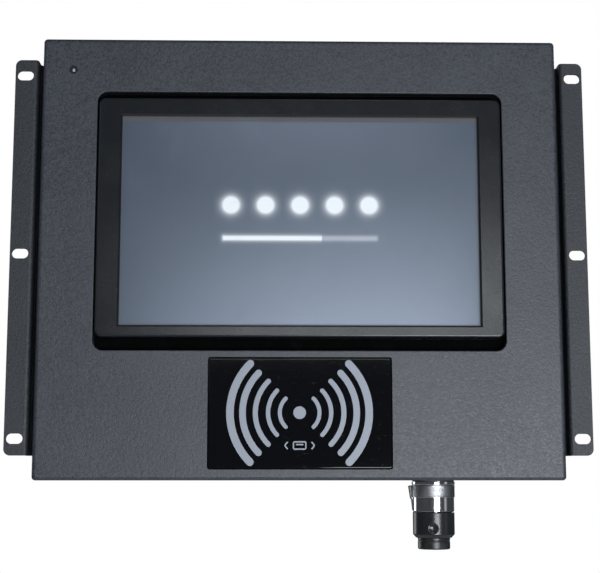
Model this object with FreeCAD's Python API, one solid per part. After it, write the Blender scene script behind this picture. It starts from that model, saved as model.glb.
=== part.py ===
"""Panel-mount ticket terminal: a folded steel case with a 9 inch touch screen, a contactless card window,
side mounting wings and a circular cable connector. Sizes are in millimetres.

Everything is modelled in the case frame: X to the right and Z up from the middle of the front face, and Y
backwards from the front face. save() then moves it so that the origin is the middle of the mounting slots, on
the rear face of the wings.
"""
import FreeCAD
import Part
import math
import os

V = FreeCAD.Vector
X_AXIS, Y_AXIS, Z_AXIS = V(1, 0, 0), V(0, 1, 0), V(0, 0, 1)

# ---- driving dimensions ----------------------------------------------------------------------------------
# case
case_width = 286.0
case_height = 244.0
case_depth = 40.0
sheet = 1.5                      # steel of the front cover, rear cover and wings
edge_radius = 2.4                # outer bend radius round the front face
corner_radius = 2.0              # corners of the case seen from the front
lip_width = 12.0                 # rear lip of the front cover, which the rear cover sits on

# display window in the front cover
window_width = 224.2
window_height = 143.9
window_z = 19.45                 # middle of the window above the middle of the case
window_radius = 5.5
window_edge_round = 0.6

# rear cover
rear_cover_inset = 0.5           # how far its edge lies inside the outside of the case
vent_rows = 9
vent_pitch = 8.0
vent_length = 46.0
vent_width = 3.2
vent_x = 66.0                    # middle of each field of vents from the middle of the case
vent_top_z = 62.0                # the top row

# display bezel, which stands in the window with an open gap all round
gap_side = 1.25
gap_top = 4.2
gap_bottom = 7.0
bezel_proud = 3.0                # how far it stands out of the front face
bezel_wall = 2.0
bezel_lip = 2.2                  # thickness of its front lip, in front of the glass
bezel_radius = 3.6
bezel_edge_round = 1.1
flange_side = 6.0                # how far its flange reaches behind the cover, past the window
flange_bottom = 1.6
flange_thickness = 2.0
gasket_thickness = 5.0
view_width = 196.0               # opening in the bezel
view_height = 116.3
view_z = 19.0
view_chamfer = 0.9
pocket_radius = 1.0

# display stack
glass_thickness = 1.8
cell_width = 204.0
cell_height = 119.5
cell_z = 18.3
cell_thickness = 1.2
backlight_width = 210.7
backlight_height = 126.5
backlight_thickness = 4.5
backlight_radius = 1.5
backlight_rim = 8.0              # width of the rim round the shallow recess in its back
backlight_recess = 0.5
glass_radius = 0.8
pad_width = 5.0                  # foam strips at the sides of the backlight
pad_inset = 1.5
pad_end = 8.5
fit_gap = 0.25                   # clearance of a part in its pocket

# card window
card_width = 98.8
card_height = 59.5
card_z = -86.15
card_radius = 1.2
card_sunk = 0.3                  # its face lies this far behind the front face
card_gap = 0.35                  # between the window and the edge of its opening
card_chamfer = 0.6
card_rim_side = 4.0
card_rim_top = 1.5
card_rim_bottom = 3.5
card_rim_thickness = 1.8
tape_thickness = 0.3
tape_inset = 0.2                 # from the edge of the window's rim
tape_gap = 0.1                   # outside the opening

# card reader
reader_width = 126.0
reader_height = 56.0
reader_standoff = 4.0
reader_standoff_radius = 2.5
reader_inset_x, reader_inset_z = 4.5, 5.0
reader_screw_gap = 0.4           # between the end of its screws and the front cover
reader_radius = 2.0
coil_half_width = 46.0           # the outermost loop
coil_half_height = 25.0
coil_radius = 4.0
coil_turns = 5
coil_track = 1.0
coil_pitch = 2.2
coil_thickness = 0.2
reader_socket_width, reader_socket_length, reader_socket_height = 14.0, 7.0, 3.0
reader_chip, reader_chip_height = 12.0, 1.4
ferrite_thickness = 0.5

# indicator
indicator_x = -125.9
indicator_z = 103.8
indicator_hole = 2.8
indicator_lens = 2.3
indicator_sunk = 0.5
indicator_flange = 6.0
indicator_flange_thickness = 1.0
indicator_pillar = 3.2
indicator_pillar_length = 6.2
indicator_pillar_x = 5.0         # from the middle of the indicator's board
indicator_board_size = 14.0
indicator_board_thickness = 1.2
indicator_lamp = 3.0
indicator_lamp_height = 1.5
indicator_pipe_behind = 4.5      # how far the pipe reaches behind the front sheet

# wings
wing_setback = 6.0               # from the front face back to the front of the wings
wing_reach = 16.2                # from the side of the case out to the edge of the wing
wing_height = 220.0
wing_gap = 3.6                   # open groove between the side of the case and the web of the wing
wing_web = 7.0                   # straight depth of the web, before it steps in to the case
wing_leg = 17.0                  # depth of the leg that lies on the side of the case
wing_bend = 2.0                  # outer bend radius
wing_corner = 3.5
slot_pitch = 101.0
slot_from_case = 10.6            # from the side of the case to the middle of a slot
slot_width = 5.5
slot_length = 9.0
slot_rise = 1.2                  # the slot pattern's middle above the middle of the case
wing_screw_pitch = 85.0

# chassis plate behind the display, on studs
plate_thickness = 1.2
plate_width = 262.0
plate_height = 149.0
post_x = 124.5
post_pitch = 128.0
post_diameter = 8.0
stud_diameter = 4.0
stud_length = 5.0
stud_gap = 0.25                  # round the stud in the plate
stud_nut_across = 7.0
stud_nut_height = 3.2
plate_radius = 4.0
ribbon_slot_height = 6.0

# main board
board_width = 150.0
board_height = 100.0
board_x = -38.0
board_z = 22.0
board_thickness = 1.6
board_standoff = 6.0
board_inset = 5.0
board_radius = 3.0
pillar_across = 5.5
heat_sink_size = 44.0
heat_sink_height = 10.0
heat_sink_base = 2.5
heat_sink_fins = 9
fin_thickness = 1.4
chip_size = 24.0
chip_height = 1.5
capacitor_radius, capacitor_height, capacitor_pitch, capacitor_count = 3.0, 8.0, 7.5, 4
choke_radius, choke_height = 6.0, 6.5
jack_height = 7.0                # sockets at the top edge of the board

# power converter
power_size = (58.0, 14.0, 42.0)
power_x = 84.0
power_z = 22.0
power_edge_round = 1.5
groove_count, groove_pitch, groove_width, groove_depth = 6, 8.0, 2.0, 1.2
groove_start, groove_inset = 6.0, 5.0      # from its side and from its top and bottom

# circular connector
connector_x = 73.7
connector_depth = 22.0           # its axis behind the front face
shell_radius = 9.5
shell_wall = 1.6
shell_outside = 13.0             # how far the shell stands out of the case
shell_inside = 11.0
collar_step = 2.3                # how far the collar stands out from the shell
collar_height = 1.6
collar_edge_round = 0.4
seal_height = 0.8
nut_wall = 3.0
nut_height = 3.0
seal_step = 0.4                  # the seal is this much smaller in radius than the collar
thread_pitch = 1.25
thread_depth = 0.5
pin_count = 5
pin_radius = 0.75
pin_circle = 4.2
pin_hole_gap = 0.4               # how much deeper the plug's holes are than its pins reach
pin_recess = 2.0                 # how far the pins stop inside the shell's mouth
first_pin_angle = 18.0
insert_base = 2.0                # how far the socket's insulator stands out of the case
cup_radius, cup_length = 1.0, 4.0    # solder cups inside the case
running_gap = 0.1

# plug
ring_wall = 1.7
ring_length = 14.4
ring_grip = 6.6                  # length of the knurled part
grip_step = 0.5                  # how far the knurled part stands out from the smooth part
ring_knurls = 60
knurl_depth = 0.2
knurl_inset = 0.6                # plain ends of the knurled part
ring_edge_round = 0.5
grip_edge_round = 0.4
neck_step = 0.9                  # the ring's neck is this much smaller in radius than the shell
ring_back_wall = 2.4
body_step = 0.1                  # the grip is this much larger in radius than the ring
body_gap = 0.15                  # between the ring and the grip
body_length = 13.9
body_taper = 1.9
body_taper_step = 0.9            # the tapered end is this much larger in radius than the boot
body_edge_round = 0.5
dimple_radius = 9.0
dimple_depth = 0.6
dimple_height = 0.42             # as a share of the grip's length
boot_step = 2.6                  # the boot is this much smaller in radius than the grip
boot_length = 6.2
boot_edge_round = 0.8
core_wall = 1.3                  # wall of the plug's metal barrel
barrel_top_gap = 3.2             # from the outside of the case down to the barrel
barrel_tail = 9.0                # how far the barrel reaches below the ring
barrel_flange_height = 1.4
barrel_flange_gap = 0.2          # round the barrel's flange in the ring
plug_insert_tail = 3.0
entry_radius = 3.6
entry_length = 11.0
rib_height = 2.4
rib_thickness = 1.4
rib_below_top, rib_above_low = 0.2, 0.6
rib_root = 0.25                  # how deep the rib's root lies before the ring is cut out of it
rib_foot = 0.2                   # how far it stands out at its low end
rib_slope = 0.4

# fasteners
m3_shank, m3_head, m3_head_height = 3.0, 5.6, 1.9
m3_head_round = 0.9
m3_reach = 3.0                   # how far a shank reaches past the sheets it joins
m3_cross, m3_cross_width, m3_cross_depth = 3.2, 0.7, 1.1
m4_shank, m4_head, m4_head_height = 4.0, 7.6, 2.2
m4_head_round = 1.2
m4_reach = 3.0
m4_key_across, m4_key_depth = 2.5, 1.4
wing_nut_radius, wing_nut_height = 4.2, 2.6
cover_nut_radius, cover_nut_height = 3.2, 2.8
cover_screw_x = 62.0             # the screws along the top and bottom edges
cover_screw_drop = 22.0          # the screws along the sides, from the case's top and bottom
nut_gap = 0.1                    # shank clearance in a nut or standoff

# internal leads
harness_diameter = 6.0
harness_gap = 0.2                # above the solder cups
harness_rise, harness_drop = 36.0, 24.0    # straight runs at the connector and at the board
reader_lead_diameter = 3.0
ribbon_width = 30.0
ribbon_thickness = 0.3
ribbon_socket_height = 2.6
ribbon_socket_length = 6.0
ribbon_tail = 12.0               # how far down the display's back the ribbon starts
ribbon_bend = 2.2
harness_bend = 14.0
reader_lead_bend = 7.0
lead_socket = (18.0, 7.5, 10.0)  # socket on the main board: wide, high off the board, long

# ---- worked out from the above ---------------------------------------------------------------------------
m3_bore, m4_bore = m3_shank / 2 + nut_gap, m4_shank / 2 + nut_gap    # radii of the holes for the screws
half_w, half_h = case_width / 2, case_height / 2
inner_y = sheet                                            # inside of the front face
cover_back = case_depth - sheet                            # where the rear cover starts
wing_face = wing_setback + sheet                           # rear face of the wings
origin = V(0, wing_face, slot_rise)

window_top = window_z + window_height / 2
window_bottom = window_z - window_height / 2
bezel_half_w = window_width / 2 - gap_side
bezel_top, bezel_bottom = window_top - gap_top, window_bottom + gap_bottom
flange_y = inner_y + gasket_thickness
plate_y = flange_y + flange_thickness
glass_y = -bezel_proud + bezel_lip
cell_y = glass_y + glass_thickness
backlight_y = cell_y + cell_thickness
pad_y = backlight_y + backlight_thickness
pocket_half_w = bezel_half_w - bezel_wall
pocket_top, pocket_bottom = bezel_top - bezel_wall, bezel_bottom + bezel_wall

board_y = plate_y + plate_thickness + board_standoff
board_back = board_y + board_thickness
reader_y = inner_y + reader_standoff
reader_back = reader_y + board_thickness
bottom_z = -half_h                                         # outside of the case's floor
slot_x = half_w + slot_from_case
wing_step = wing_setback + wing_bend + wing_web            # where the wing steps in to the case
wing_leg_y = wing_step + wing_gap                          # where its leg starts
wing_screw_y = wing_leg_y + wing_leg / 2

# the connector's radii, from the shell outwards and inwards
shell_bore = shell_radius - shell_wall
collar_radius = shell_radius + collar_step
nut_across = 2 * (shell_radius + nut_wall)
ring_radius = shell_radius + running_gap + ring_wall
neck_radius = shell_radius - neck_step
body_radius = ring_radius + body_step
boot_radius = body_radius - boot_step
core_radius = shell_bore - core_wall

# where the internal leads run: a ribbon over the top of the main board, and two leads to its lower edge
ribbon_z = board_z + board_height / 2 + 5.5
ribbon_end_z = board_z + board_height / 2 - 5.0
leads_end_z = board_z - board_height / 2 + 4.0
harness_end_x = board_x + board_width / 2 - 28.0
reader_lead_x = board_x - 10.0
reader_lead_z = card_z + reader_height / 2 - 12.0

# what stands on the main board
capacitor_x, capacitor_z = board_x - 52.0, board_z - 30.0
choke_x, choke_z = board_x - 50.0, board_z + 28.0
jack_z = board_z + 30.0
jacks = ((board_x + 38.0, 14.0, 16.0), (board_x + 55.0, 13.0, 13.0))    # middle, width, height

# the plug's levels
ring_top = bottom_z - seal_height - collar_height - running_gap
ring_low = ring_top - ring_length
barrel_flange_z = ring_low + ring_back_wall + running_gap
barrel_top = bottom_z - barrel_top_gap
barrel_low = ring_low - barrel_tail
body_top = ring_low - body_gap
body_low = body_top - body_length
boot_low = body_low - boot_length


# ---- helpers ---------------------------------------------------------------------------------------------
def block(x0, x1, y0, y1, z0, z1):
    """A plain box between two corners."""
    return Part.makeBox(x1 - x0, y1 - y0, z1 - z0, V(x0, y0, z0))


def slab(x0, x1, y0, y1, z0, z1, radius):
    """A plate seen from the front with rounded corners, from depth y0 to y1."""
    body = block(x0, x1, y0, y1, z0, z1)
    along_y = [e for e in body.Edges if is_along(e, Y_AXIS)]
    return body.makeFillet(radius, along_y)


def is_along(edge, axis):
    """Whether a straight edge runs along an axis."""
    start, end = edge.Vertexes[0].Point, edge.Vertexes[-1].Point
    direction = end.sub(start)
    return direction.Length > 1e-6 and abs(abs(direction.dot(axis)) - direction.Length) < 1e-6


def edges_at(shape, axis, value):
    """The edges that lie wholly in the plane axis = value."""
    def lies_there(edge):
        box = edge.BoundBox
        low = V(box.XMin, box.YMin, box.ZMin).dot(axis)
        high = V(box.XMax, box.YMax, box.ZMax).dot(axis)
        return abs(low - value) < 1e-4 and abs(high - value) < 1e-4
    return [e for e in shape.Edges if lies_there(e)]


def rod(radius, length, x, y, z, axis=Z_AXIS):
    """A cylinder from a point along an axis."""
    return Part.makeCylinder(radius, length, V(x, y, z), axis)


def tube(outer, inner, length, x, y, z, axis=Z_AXIS):
    """A straight pipe from a point along an axis."""
    return rod(outer, length, x, y, z, axis).cut(rod(inner, length, x, y, z, axis))


def cone(radius_1, radius_2, length, x, y, z, axis=Z_AXIS):
    """A truncated cone from a point along an axis."""
    return Part.makeCone(radius_1, radius_2, length, V(x, y, z), axis)


def hexagon(across, length, x, y, z, axis):
    """A hexagonal bar from a point along Y or Z."""
    reach = across / math.sqrt(3)
    corners = []
    for k in range(7):
        angle = math.radians(60 * k)
        a, b = reach * math.cos(angle), reach * math.sin(angle)
        corners.append(V(x + a, y, z + b) if axis == Y_AXIS else V(x + a, y + b, z))
    return Part.Face(Part.makePolygon(corners)).extrude(axis * length)


def joined(shapes):
    """One solid, or as few as possible, from touching shapes."""
    first, *rest = shapes
    return first.multiFuse(rest).removeSplitter() if rest else first


def bent_path(points, radius):
    """A wire of straight runs joined by tangent arcs of one radius."""
    edges = []
    start = points[0]
    for before, corner, after in zip(points, points[1:], points[2:]):
        into, out = (before - corner).normalize(), (after - corner).normalize()
        half = into.getAngle(out) / 2
        reach = radius / math.tan(half)
        first, last = corner + into * reach, corner + out * reach
        middle = corner + (into + out).normalize() * (radius / math.sin(half) - radius)
        edges.append(Part.LineSegment(start, first).toShape())
        edges.append(Part.Arc(first, middle, last).toShape())
        start = last
    edges.append(Part.LineSegment(start, points[-1]).toShape())
    return Part.Wire(edges)


def lead(points, radius, diameter):
    """A round wire bundle along a bent path."""
    path = bent_path(points, radius)
    direction = points[1] - points[0]
    section = Part.Wire(Part.makeCircle(diameter / 2, points[0], direction))
    return path.makePipeShell([section], True, False)


def save(name, *shapes):
    """Writes one node: its shapes moved to the origin of the slot pattern."""
    solids = [s for shape in shapes for s in shape.Solids]
    node = solids[0] if len(solids) == 1 else Part.makeCompound(solids)
    node = node.copy()
    node.translate(origin * -1)
    node.exportStep(f"parts/{name}.step")


# ---- places that repeat ----------------------------------------------------------------------------------
def corner_points(x, z, half_x, half_z):
    """The four corners of a rectangle seen from the front."""
    return [(x + i * half_x, z + j * half_z) for i in (-1, 1) for j in (-1, 1)]


wing_screw_z = [-wing_screw_pitch, 0.0, wing_screw_pitch]
post_points = corner_points(0, window_z, post_x, post_pitch / 2)
board_points = corner_points(board_x, board_z, board_width / 2 - board_inset, board_height / 2 - board_inset)
reader_points = corner_points(0, card_z, reader_width / 2 - reader_inset_x, reader_height / 2 - reader_inset_z)
pin_angles = [math.radians(360 * k / pin_count + first_pin_angle) for k in range(pin_count)]
pin_points = [(connector_x + pin_circle * math.cos(angle), connector_depth + pin_circle * math.sin(angle))
              for angle in pin_angles]
lip_middle = lip_width / 2 + sheet / 2
cover_points = corner_points(0, 0, half_w - lip_middle, half_h - cover_screw_drop)
cover_points += corner_points(0, 0, cover_screw_x, half_h - lip_middle)


# ---- case ------------------------------------------------------------------------------------------------
def front_cover():
    """The folded front: face, four walls and the lip at the back, with every opening cut in it."""
    body = slab(-half_w, half_w, 0, cover_back, -half_h, half_h, corner_radius)
    body = body.makeFillet(edge_radius, edges_at(body, Y_AXIS, 0))
    inner_w, inner_h = half_w - sheet, half_h - sheet
    inside = slab(-inner_w, inner_w, inner_y, cover_back - sheet, -inner_h, inner_h, corner_radius / 2)
    inside = inside.makeFillet(edge_radius - sheet, edges_at(inside, Y_AXIS, inner_y))
    lip_w, lip_h = half_w - lip_width, half_h - lip_width
    mouth = slab(-lip_w, lip_w, cover_back - 2 * sheet, case_depth, -lip_h, lip_h, corner_radius)
    window = slab(-window_width / 2, window_width / 2, -1, 2 * sheet, window_bottom, window_top, window_radius)
    body = body.cut(joined([inside, mouth])).cut(window)
    rim = [e for e in edges_at(body, Y_AXIS, 0) if abs(e.BoundBox.XMax) < window_width / 2 + 1e-3]
    body = body.makeFillet(window_edge_round, rim)
    opening_w, opening_h = card_width / 2 + card_gap, card_height / 2 + card_gap
    cuts = [slab(-opening_w, opening_w, -1, 2 * sheet, card_z - opening_h, card_z + opening_h,
                 card_radius + card_gap)]
    cuts.append(rod(indicator_hole / 2, 3 * sheet, indicator_x, -sheet, indicator_z, Y_AXIS))
    hole_radius = shell_radius + nut_gap
    cuts.append(rod(hole_radius, 3 * sheet, connector_x, connector_depth, bottom_z - sheet))
    for z in wing_screw_z:
        cuts.append(rod(m4_bore, case_width + 2 * sheet, -half_w - sheet, wing_screw_y, z, X_AXIS))
    for x, z in cover_points:
        cuts.append(rod(m3_bore, 4 * sheet, x, cover_back - 2 * sheet, z, Y_AXIS))
    return body.cut(joined(cuts))


def rear_cover():
    """The flat back plate with its two fields of ventilation slots."""
    w, h = half_w - rear_cover_inset, half_h - rear_cover_inset
    plate = slab(-w, w, cover_back, case_depth, -h, h, corner_radius)
    outer = edges_at(plate, Y_AXIS, case_depth)
    plate = plate.makeFillet(window_edge_round, outer)
    cuts = []
    for side in (-1, 1):
        for row in range(vent_rows):
            x, z = side * vent_x, vent_top_z - row * vent_pitch
            cuts.append(slab(x - vent_length / 2, x + vent_length / 2, cover_back - 1, case_depth + 1,
                             z - vent_width / 2, z + vent_width / 2, vent_width / 2 - 0.01))
    for x, z in cover_points:
        cuts.append(rod(m3_bore, 3 * sheet, x, cover_back - sheet, z, Y_AXIS))
    return plate.cut(joined(cuts))


def wing(side):
    """One mounting wing: a slotted strip, a web set off from the case, a step and a leg on the case."""
    face, back, bend_in = wing_setback, wing_face, wing_bend - sheet
    web_in, web_out = wing_gap, wing_gap + sheet
    centre_x, centre_y = wing_gap + wing_bend, face + wing_bend
    leg_end = wing_leg_y + wing_leg
    mitre = sheet * math.tan(math.pi / 8)                  # how far on a half-right bend's outer corner lies
    slope = math.sqrt(0.5)
    inner_mid = V(centre_x - bend_in * slope, centre_y - bend_in * slope, 0)
    outer_mid = V(centre_x - wing_bend * slope, centre_y - wing_bend * slope, 0)
    strip = [V(centre_x, face, 0), V(wing_reach, face, 0), V(wing_reach, back, 0), V(centre_x, back, 0)]
    outer_side = [V(web_out, centre_y, 0), V(web_out, wing_step + mitre, 0), V(sheet, wing_leg_y + mitre, 0),
                  V(sheet, leg_end, 0)]
    case_side = [V(0, leg_end, 0), V(0, wing_leg_y, 0), V(web_in, wing_step, 0), V(web_in, centre_y, 0)]
    leg = outer_side + case_side
    edges = [Part.LineSegment(a, b).toShape() for a, b in zip(strip, strip[1:])]
    edges.append(Part.Arc(strip[-1], inner_mid, leg[0]).toShape())
    edges += [Part.LineSegment(a, b).toShape() for a, b in zip(leg, leg[1:])]
    edges.append(Part.Arc(leg[-1], outer_mid, strip[0]).toShape())
    body = Part.Face(Part.Wire(edges)).extrude(V(0, 0, wing_height))
    corners = [e for e in body.Edges if is_along(e, Y_AXIS) and e.BoundBox.XMin > wing_reach - 1e-3]
    body = body.makeFillet(wing_corner, corners)
    body.translate(V(half_w, 0, slot_rise - wing_height / 2))
    cuts = []
    for step in (-1, 0, 1):
        z = slot_rise + step * slot_pitch
        cuts.append(slab(slot_x - slot_length / 2, slot_x + slot_length / 2, face - 1, face + sheet + 1,
                         z - slot_width / 2, z + slot_width / 2, slot_width / 2 - 0.001))
    for z in wing_screw_z:
        cuts.append(rod(m4_bore, 3 * sheet, half_w - sheet, wing_screw_y, z, X_AXIS))
    body = body.cut(joined(cuts))
    return body if side > 0 else body.mirror(V(0, 0, 0), X_AXIS)


def wing_screws(side):
    """Domed M4 screws through a wing's leg into the wall of the case."""
    screws = []
    for z in wing_screw_z:
        x, y = half_w + sheet, wing_screw_y
        head = rod(m4_head / 2, m4_head_height, x, y, z, X_AXIS)
        head = head.makeFillet(m4_head_round, edges_at(head, X_AXIS, x + m4_head_height))
        shank = rod(m4_shank / 2, 2 * sheet + m4_reach, x - 2 * sheet - m4_reach, y, z, X_AXIS)
        socket = hexagon(m4_key_across, m4_key_depth + nut_gap, 0, 0, 0, Z_AXIS)
        socket.rotate(V(0, 0, 0), Y_AXIS, 90)
        socket.translate(V(x + m4_head_height - m4_key_depth, y, z))
        screws.append(joined([head, shank]).cut(socket))
    return [s if side > 0 else s.mirror(V(0, 0, 0), X_AXIS) for s in screws]


def wing_nuts():
    """Clinched nuts inside the side walls, which hold the wing screws."""
    nuts = []
    for side in (-1, 1):
        for z in wing_screw_z:
            x = side * (half_w - sheet)
            nuts.append(tube(wing_nut_radius, m4_bore, wing_nut_height, x, wing_screw_y, z,
                             X_AXIS * -side))
    return nuts


def cover_screws():
    """Pan-head M3 screws that hold the rear cover to the lip."""
    screws = []
    for x, z in cover_points:
        head = rod(m3_head / 2, m3_head_height, x, case_depth, z, Y_AXIS)
        head = head.makeFillet(m3_head_round, edges_at(head, Y_AXIS, case_depth + m3_head_height))
        shank = rod(m3_shank / 2, 2 * sheet + m3_reach, x, case_depth - 2 * sheet - m3_reach, z, Y_AXIS)
        long, thin = m3_cross / 2, m3_cross_width / 2
        low, high = case_depth + m3_head_height - m3_cross_depth, case_depth + 2 * m3_head_height
        cross = joined([block(x - long, x + long, low, high, z - thin, z + thin),
                        block(x - thin, x + thin, low, high, z - long, z + long)])
        screws.append(joined([head, shank]).cut(cross))
    return screws


def cover_nuts():
    """Clinched nuts on the inside of the lip."""
    y = cover_back - sheet - cover_nut_height
    return [tube(cover_nut_radius, m3_bore, cover_nut_height, x, y, z, Y_AXIS) for x, z in cover_points]


# ---- display ---------------------------------------------------------------------------------------------
def display_bezel():
    """The moulded frame round the screen, with its rear flange and the pocket for glass and panel."""
    ring = slab(-bezel_half_w, bezel_half_w, -bezel_proud, plate_y, bezel_bottom, bezel_top, bezel_radius)
    ring = ring.makeFillet(bezel_edge_round, edges_at(ring, Y_AXIS, -bezel_proud))
    flange_w = window_width / 2 + flange_side
    low, high = window_bottom - flange_bottom, window_top + flange_side
    flange = slab(-flange_w, flange_w, flange_y, plate_y, low, high, window_radius)
    w = pocket_half_w
    pocket = slab(-w, w, glass_y, plate_y + 1, pocket_bottom, pocket_top, pocket_radius)
    view = block(-view_width / 2, view_width / 2, -bezel_proud - 1, plate_y, view_z - view_height / 2,
                 view_z + view_height / 2)
    body = joined([ring, flange]).cut(pocket).cut(view)
    reach = view_width / 2 + 1e-3
    front = edges_at(body, Y_AXIS, -bezel_proud)
    rim = [e for e in front if max(abs(e.BoundBox.XMin), abs(e.BoundBox.XMax)) < reach]
    return body.makeChamfer(view_chamfer, rim)


def display_gasket():
    """The foam frame between the front cover and the flange of the bezel."""
    outer_w = window_width / 2 + flange_side - fit_gap
    low, high = window_bottom - flange_bottom + fit_gap, window_top + flange_side - fit_gap
    inner_w = window_width / 2 + fit_gap
    outer = slab(-outer_w, outer_w, inner_y, flange_y, low, high, window_radius)
    inner = slab(-inner_w, inner_w, inner_y - 1, flange_y + 1, window_bottom - fit_gap, window_top + fit_gap,
                 window_radius)
    return outer.cut(inner)


def touch_glass():
    """The cover glass, in the pocket of the bezel."""
    w = pocket_half_w - fit_gap
    return slab(-w, w, glass_y, cell_y, pocket_bottom + fit_gap, pocket_top - fit_gap, glass_radius)


def lcd_cell():
    """The liquid crystal cell bonded behind the glass."""
    w, h = cell_width / 2, cell_height / 2
    return block(-w, w, cell_y, backlight_y, cell_z - h, cell_z + h)


def lcd_backlight():
    """The backlight tray, with a shallow ribbed back."""
    w, h = backlight_width / 2, backlight_height / 2
    middle = (pocket_top + pocket_bottom) / 2
    body = slab(-w, w, backlight_y, pad_y, middle - h, middle + h, backlight_radius)
    w, h = w - backlight_rim, h - backlight_rim
    recess = slab(-w, w, pad_y - backlight_recess, pad_y + 1, middle - h, middle + h, 2 * backlight_radius)
    return body.cut(recess)


def display_pads():
    """Foam strips that press the display forward from the chassis plate."""
    middle = (pocket_top + pocket_bottom) / 2
    h, side = backlight_height / 2 - pad_end, backlight_width / 2 - pad_inset
    pads = []
    for x in (-side, side - pad_width):
        pads.append(block(x, x + pad_width, pad_y, plate_y, middle - h, middle + h))
    return pads


def chassis_plate():
    """The steel plate that clamps the display and carries the electronics."""
    w, h = plate_width / 2, plate_height / 2
    plate = slab(-w, w, plate_y, plate_y + plate_thickness, window_z - h, window_z + h, plate_radius)
    hole, length = stud_diameter / 2 + stud_gap, 3 * plate_thickness
    cuts = [rod(hole, length, x, plate_y - 1, z, Y_AXIS) for x, z in post_points]
    cuts += [rod(m3_bore, length, x, plate_y - 1, z, Y_AXIS) for x, z in board_points]
    slot_h = ribbon_slot_height / 2
    slot_w = ribbon_width / 2 + slot_h
    cuts.append(slab(board_x - slot_w, board_x + slot_w, plate_y - 1, plate_y + 2 * plate_thickness,
                     ribbon_z - slot_h, ribbon_z + slot_h, slot_h / 2))
    return plate.cut(joined(cuts))


def chassis_posts():
    """Posts welded to the inside of the front cover, with the studs that carry the chassis plate."""
    posts = []
    for x, z in post_points:
        post = rod(post_diameter / 2, plate_y - inner_y, x, inner_y, z, Y_AXIS)
        stud = rod(stud_diameter / 2, plate_thickness + stud_length, x, plate_y, z, Y_AXIS)
        posts.append(joined([post, stud]))
    return posts


def chassis_nuts():
    """Nuts on the studs of the chassis plate."""
    nuts = []
    for x, z in post_points:
        y = plate_y + plate_thickness
        bore = rod(stud_diameter / 2 + nut_gap, 2 * stud_nut_height, x, y - stud_nut_height / 2, z, Y_AXIS)
        nuts.append(hexagon(stud_nut_across, stud_nut_height, x, y, z, Y_AXIS).cut(bore))
    return nuts


# ---- electronics -----------------------------------------------------------------------------------------
def main_board():
    """The processor board with its row of sockets, chips and capacitors."""
    w, h = board_width / 2, board_height / 2
    board = slab(board_x - w, board_x + w, board_y, board_back, board_z - h, board_z + h, board_radius)
    holes = [rod(m3_bore, 3 * board_thickness, x, board_y - 1, z, Y_AXIS) for x, z in board_points]
    return board.cut(joined(holes))


def board_parts():
    """Chips, sockets and capacitors soldered to the main board."""
    y, chip = board_back, chip_size / 2
    parts = [block(board_x - chip, board_x + chip, y, y + chip_height, board_z - chip, board_z + chip)]
    for k in range(capacitor_count):
        x = capacitor_x + capacitor_pitch * k
        parts.append(rod(capacitor_radius, capacitor_height, x, y, capacitor_z, Y_AXIS))
    for x, wide, tall in jacks:
        w, h = wide / 2, tall / 2
        parts.append(block(x - w, x + w, y, y + jack_height, jack_z - h, jack_z + h))
    parts.append(rod(choke_radius, choke_height, choke_x, y, choke_z, Y_AXIS))
    wide, high, long = lead_socket
    for x in (harness_end_x, reader_lead_x):
        parts.append(block(x - wide / 2, x + wide / 2, y, y + high, leads_end_z, leads_end_z + long))
    w = ribbon_width / 2 + 2
    low = ribbon_end_z - ribbon_socket_length
    parts.append(block(board_x - w, board_x + w, y, y + ribbon_socket_height, low, ribbon_end_z))
    return parts


def heat_sink():
    """A finned aluminium heat sink on the processor."""
    size, y = heat_sink_size / 2, board_back + chip_height
    low, high = board_z - size, board_z + size
    pieces = [block(board_x - size, board_x + size, y, y + heat_sink_base, low, high)]
    for k in range(heat_sink_fins):
        x = board_x - size + k * (heat_sink_size - fin_thickness) / (heat_sink_fins - 1)
        pieces.append(block(x, x + fin_thickness, y + heat_sink_base, y + heat_sink_height, low, high))
    return joined(pieces)


def board_standoffs():
    """Hexagonal pillars between the chassis plate and the main board."""
    pillars = []
    for x, z in board_points:
        y = plate_y + plate_thickness
        bore = rod(m3_bore, board_standoff + 2, x, y - 1, z, Y_AXIS)
        pillars.append(hexagon(pillar_across, board_standoff, x, y, z, Y_AXIS).cut(bore))
    return pillars


def board_screws():
    """Screws through the main board, its pillars and the chassis plate."""
    screws = []
    reach = board_standoff + board_thickness
    for x, z in board_points:
        head = rod(m3_head / 2, m3_head_height, x, board_back, z, Y_AXIS)
        shank = rod(m3_shank / 2, reach, x, board_back - reach, z, Y_AXIS)
        screws.append(joined([head, shank]))
    return screws


def power_converter():
    """The sealed power converter, on the chassis plate."""
    wide, deep, tall = power_size
    y = plate_y + plate_thickness
    can = block(power_x - wide / 2, power_x + wide / 2, y, y + deep, power_z - tall / 2, power_z + tall / 2)
    can = can.makeFillet(power_edge_round, edges_at(can, Y_AXIS, y + deep))
    grooves = []
    low, high = power_z - tall / 2 + groove_inset, power_z + tall / 2 - groove_inset
    for k in range(groove_count):
        x = power_x - wide / 2 + groove_start + groove_pitch * k
        grooves.append(block(x, x + groove_width, y + deep - groove_depth, y + deep + 1, low, high))
    return can.cut(joined(grooves))


def display_ribbon():
    """The flat lead from the display, round the top edge of the main board."""
    start_y, end_y = pad_y + ribbon_thickness / 2, board_back + ribbon_socket_height / 2
    points = [V(board_x, start_y, ribbon_z - ribbon_tail), V(board_x, start_y, ribbon_z),
              V(board_x, end_y, ribbon_z), V(board_x, end_y, ribbon_end_z)]
    path = bent_path(points, ribbon_bend)
    w, t = ribbon_width / 2, ribbon_thickness / 2
    x, y, z = points[0]
    corners = [V(x - w, y - t, z), V(x + w, y - t, z), V(x + w, y + t, z), V(x - w, y + t, z)]
    section = Part.makePolygon([*corners, corners[0]])
    return path.makePipeShell([section], True, False)


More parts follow.
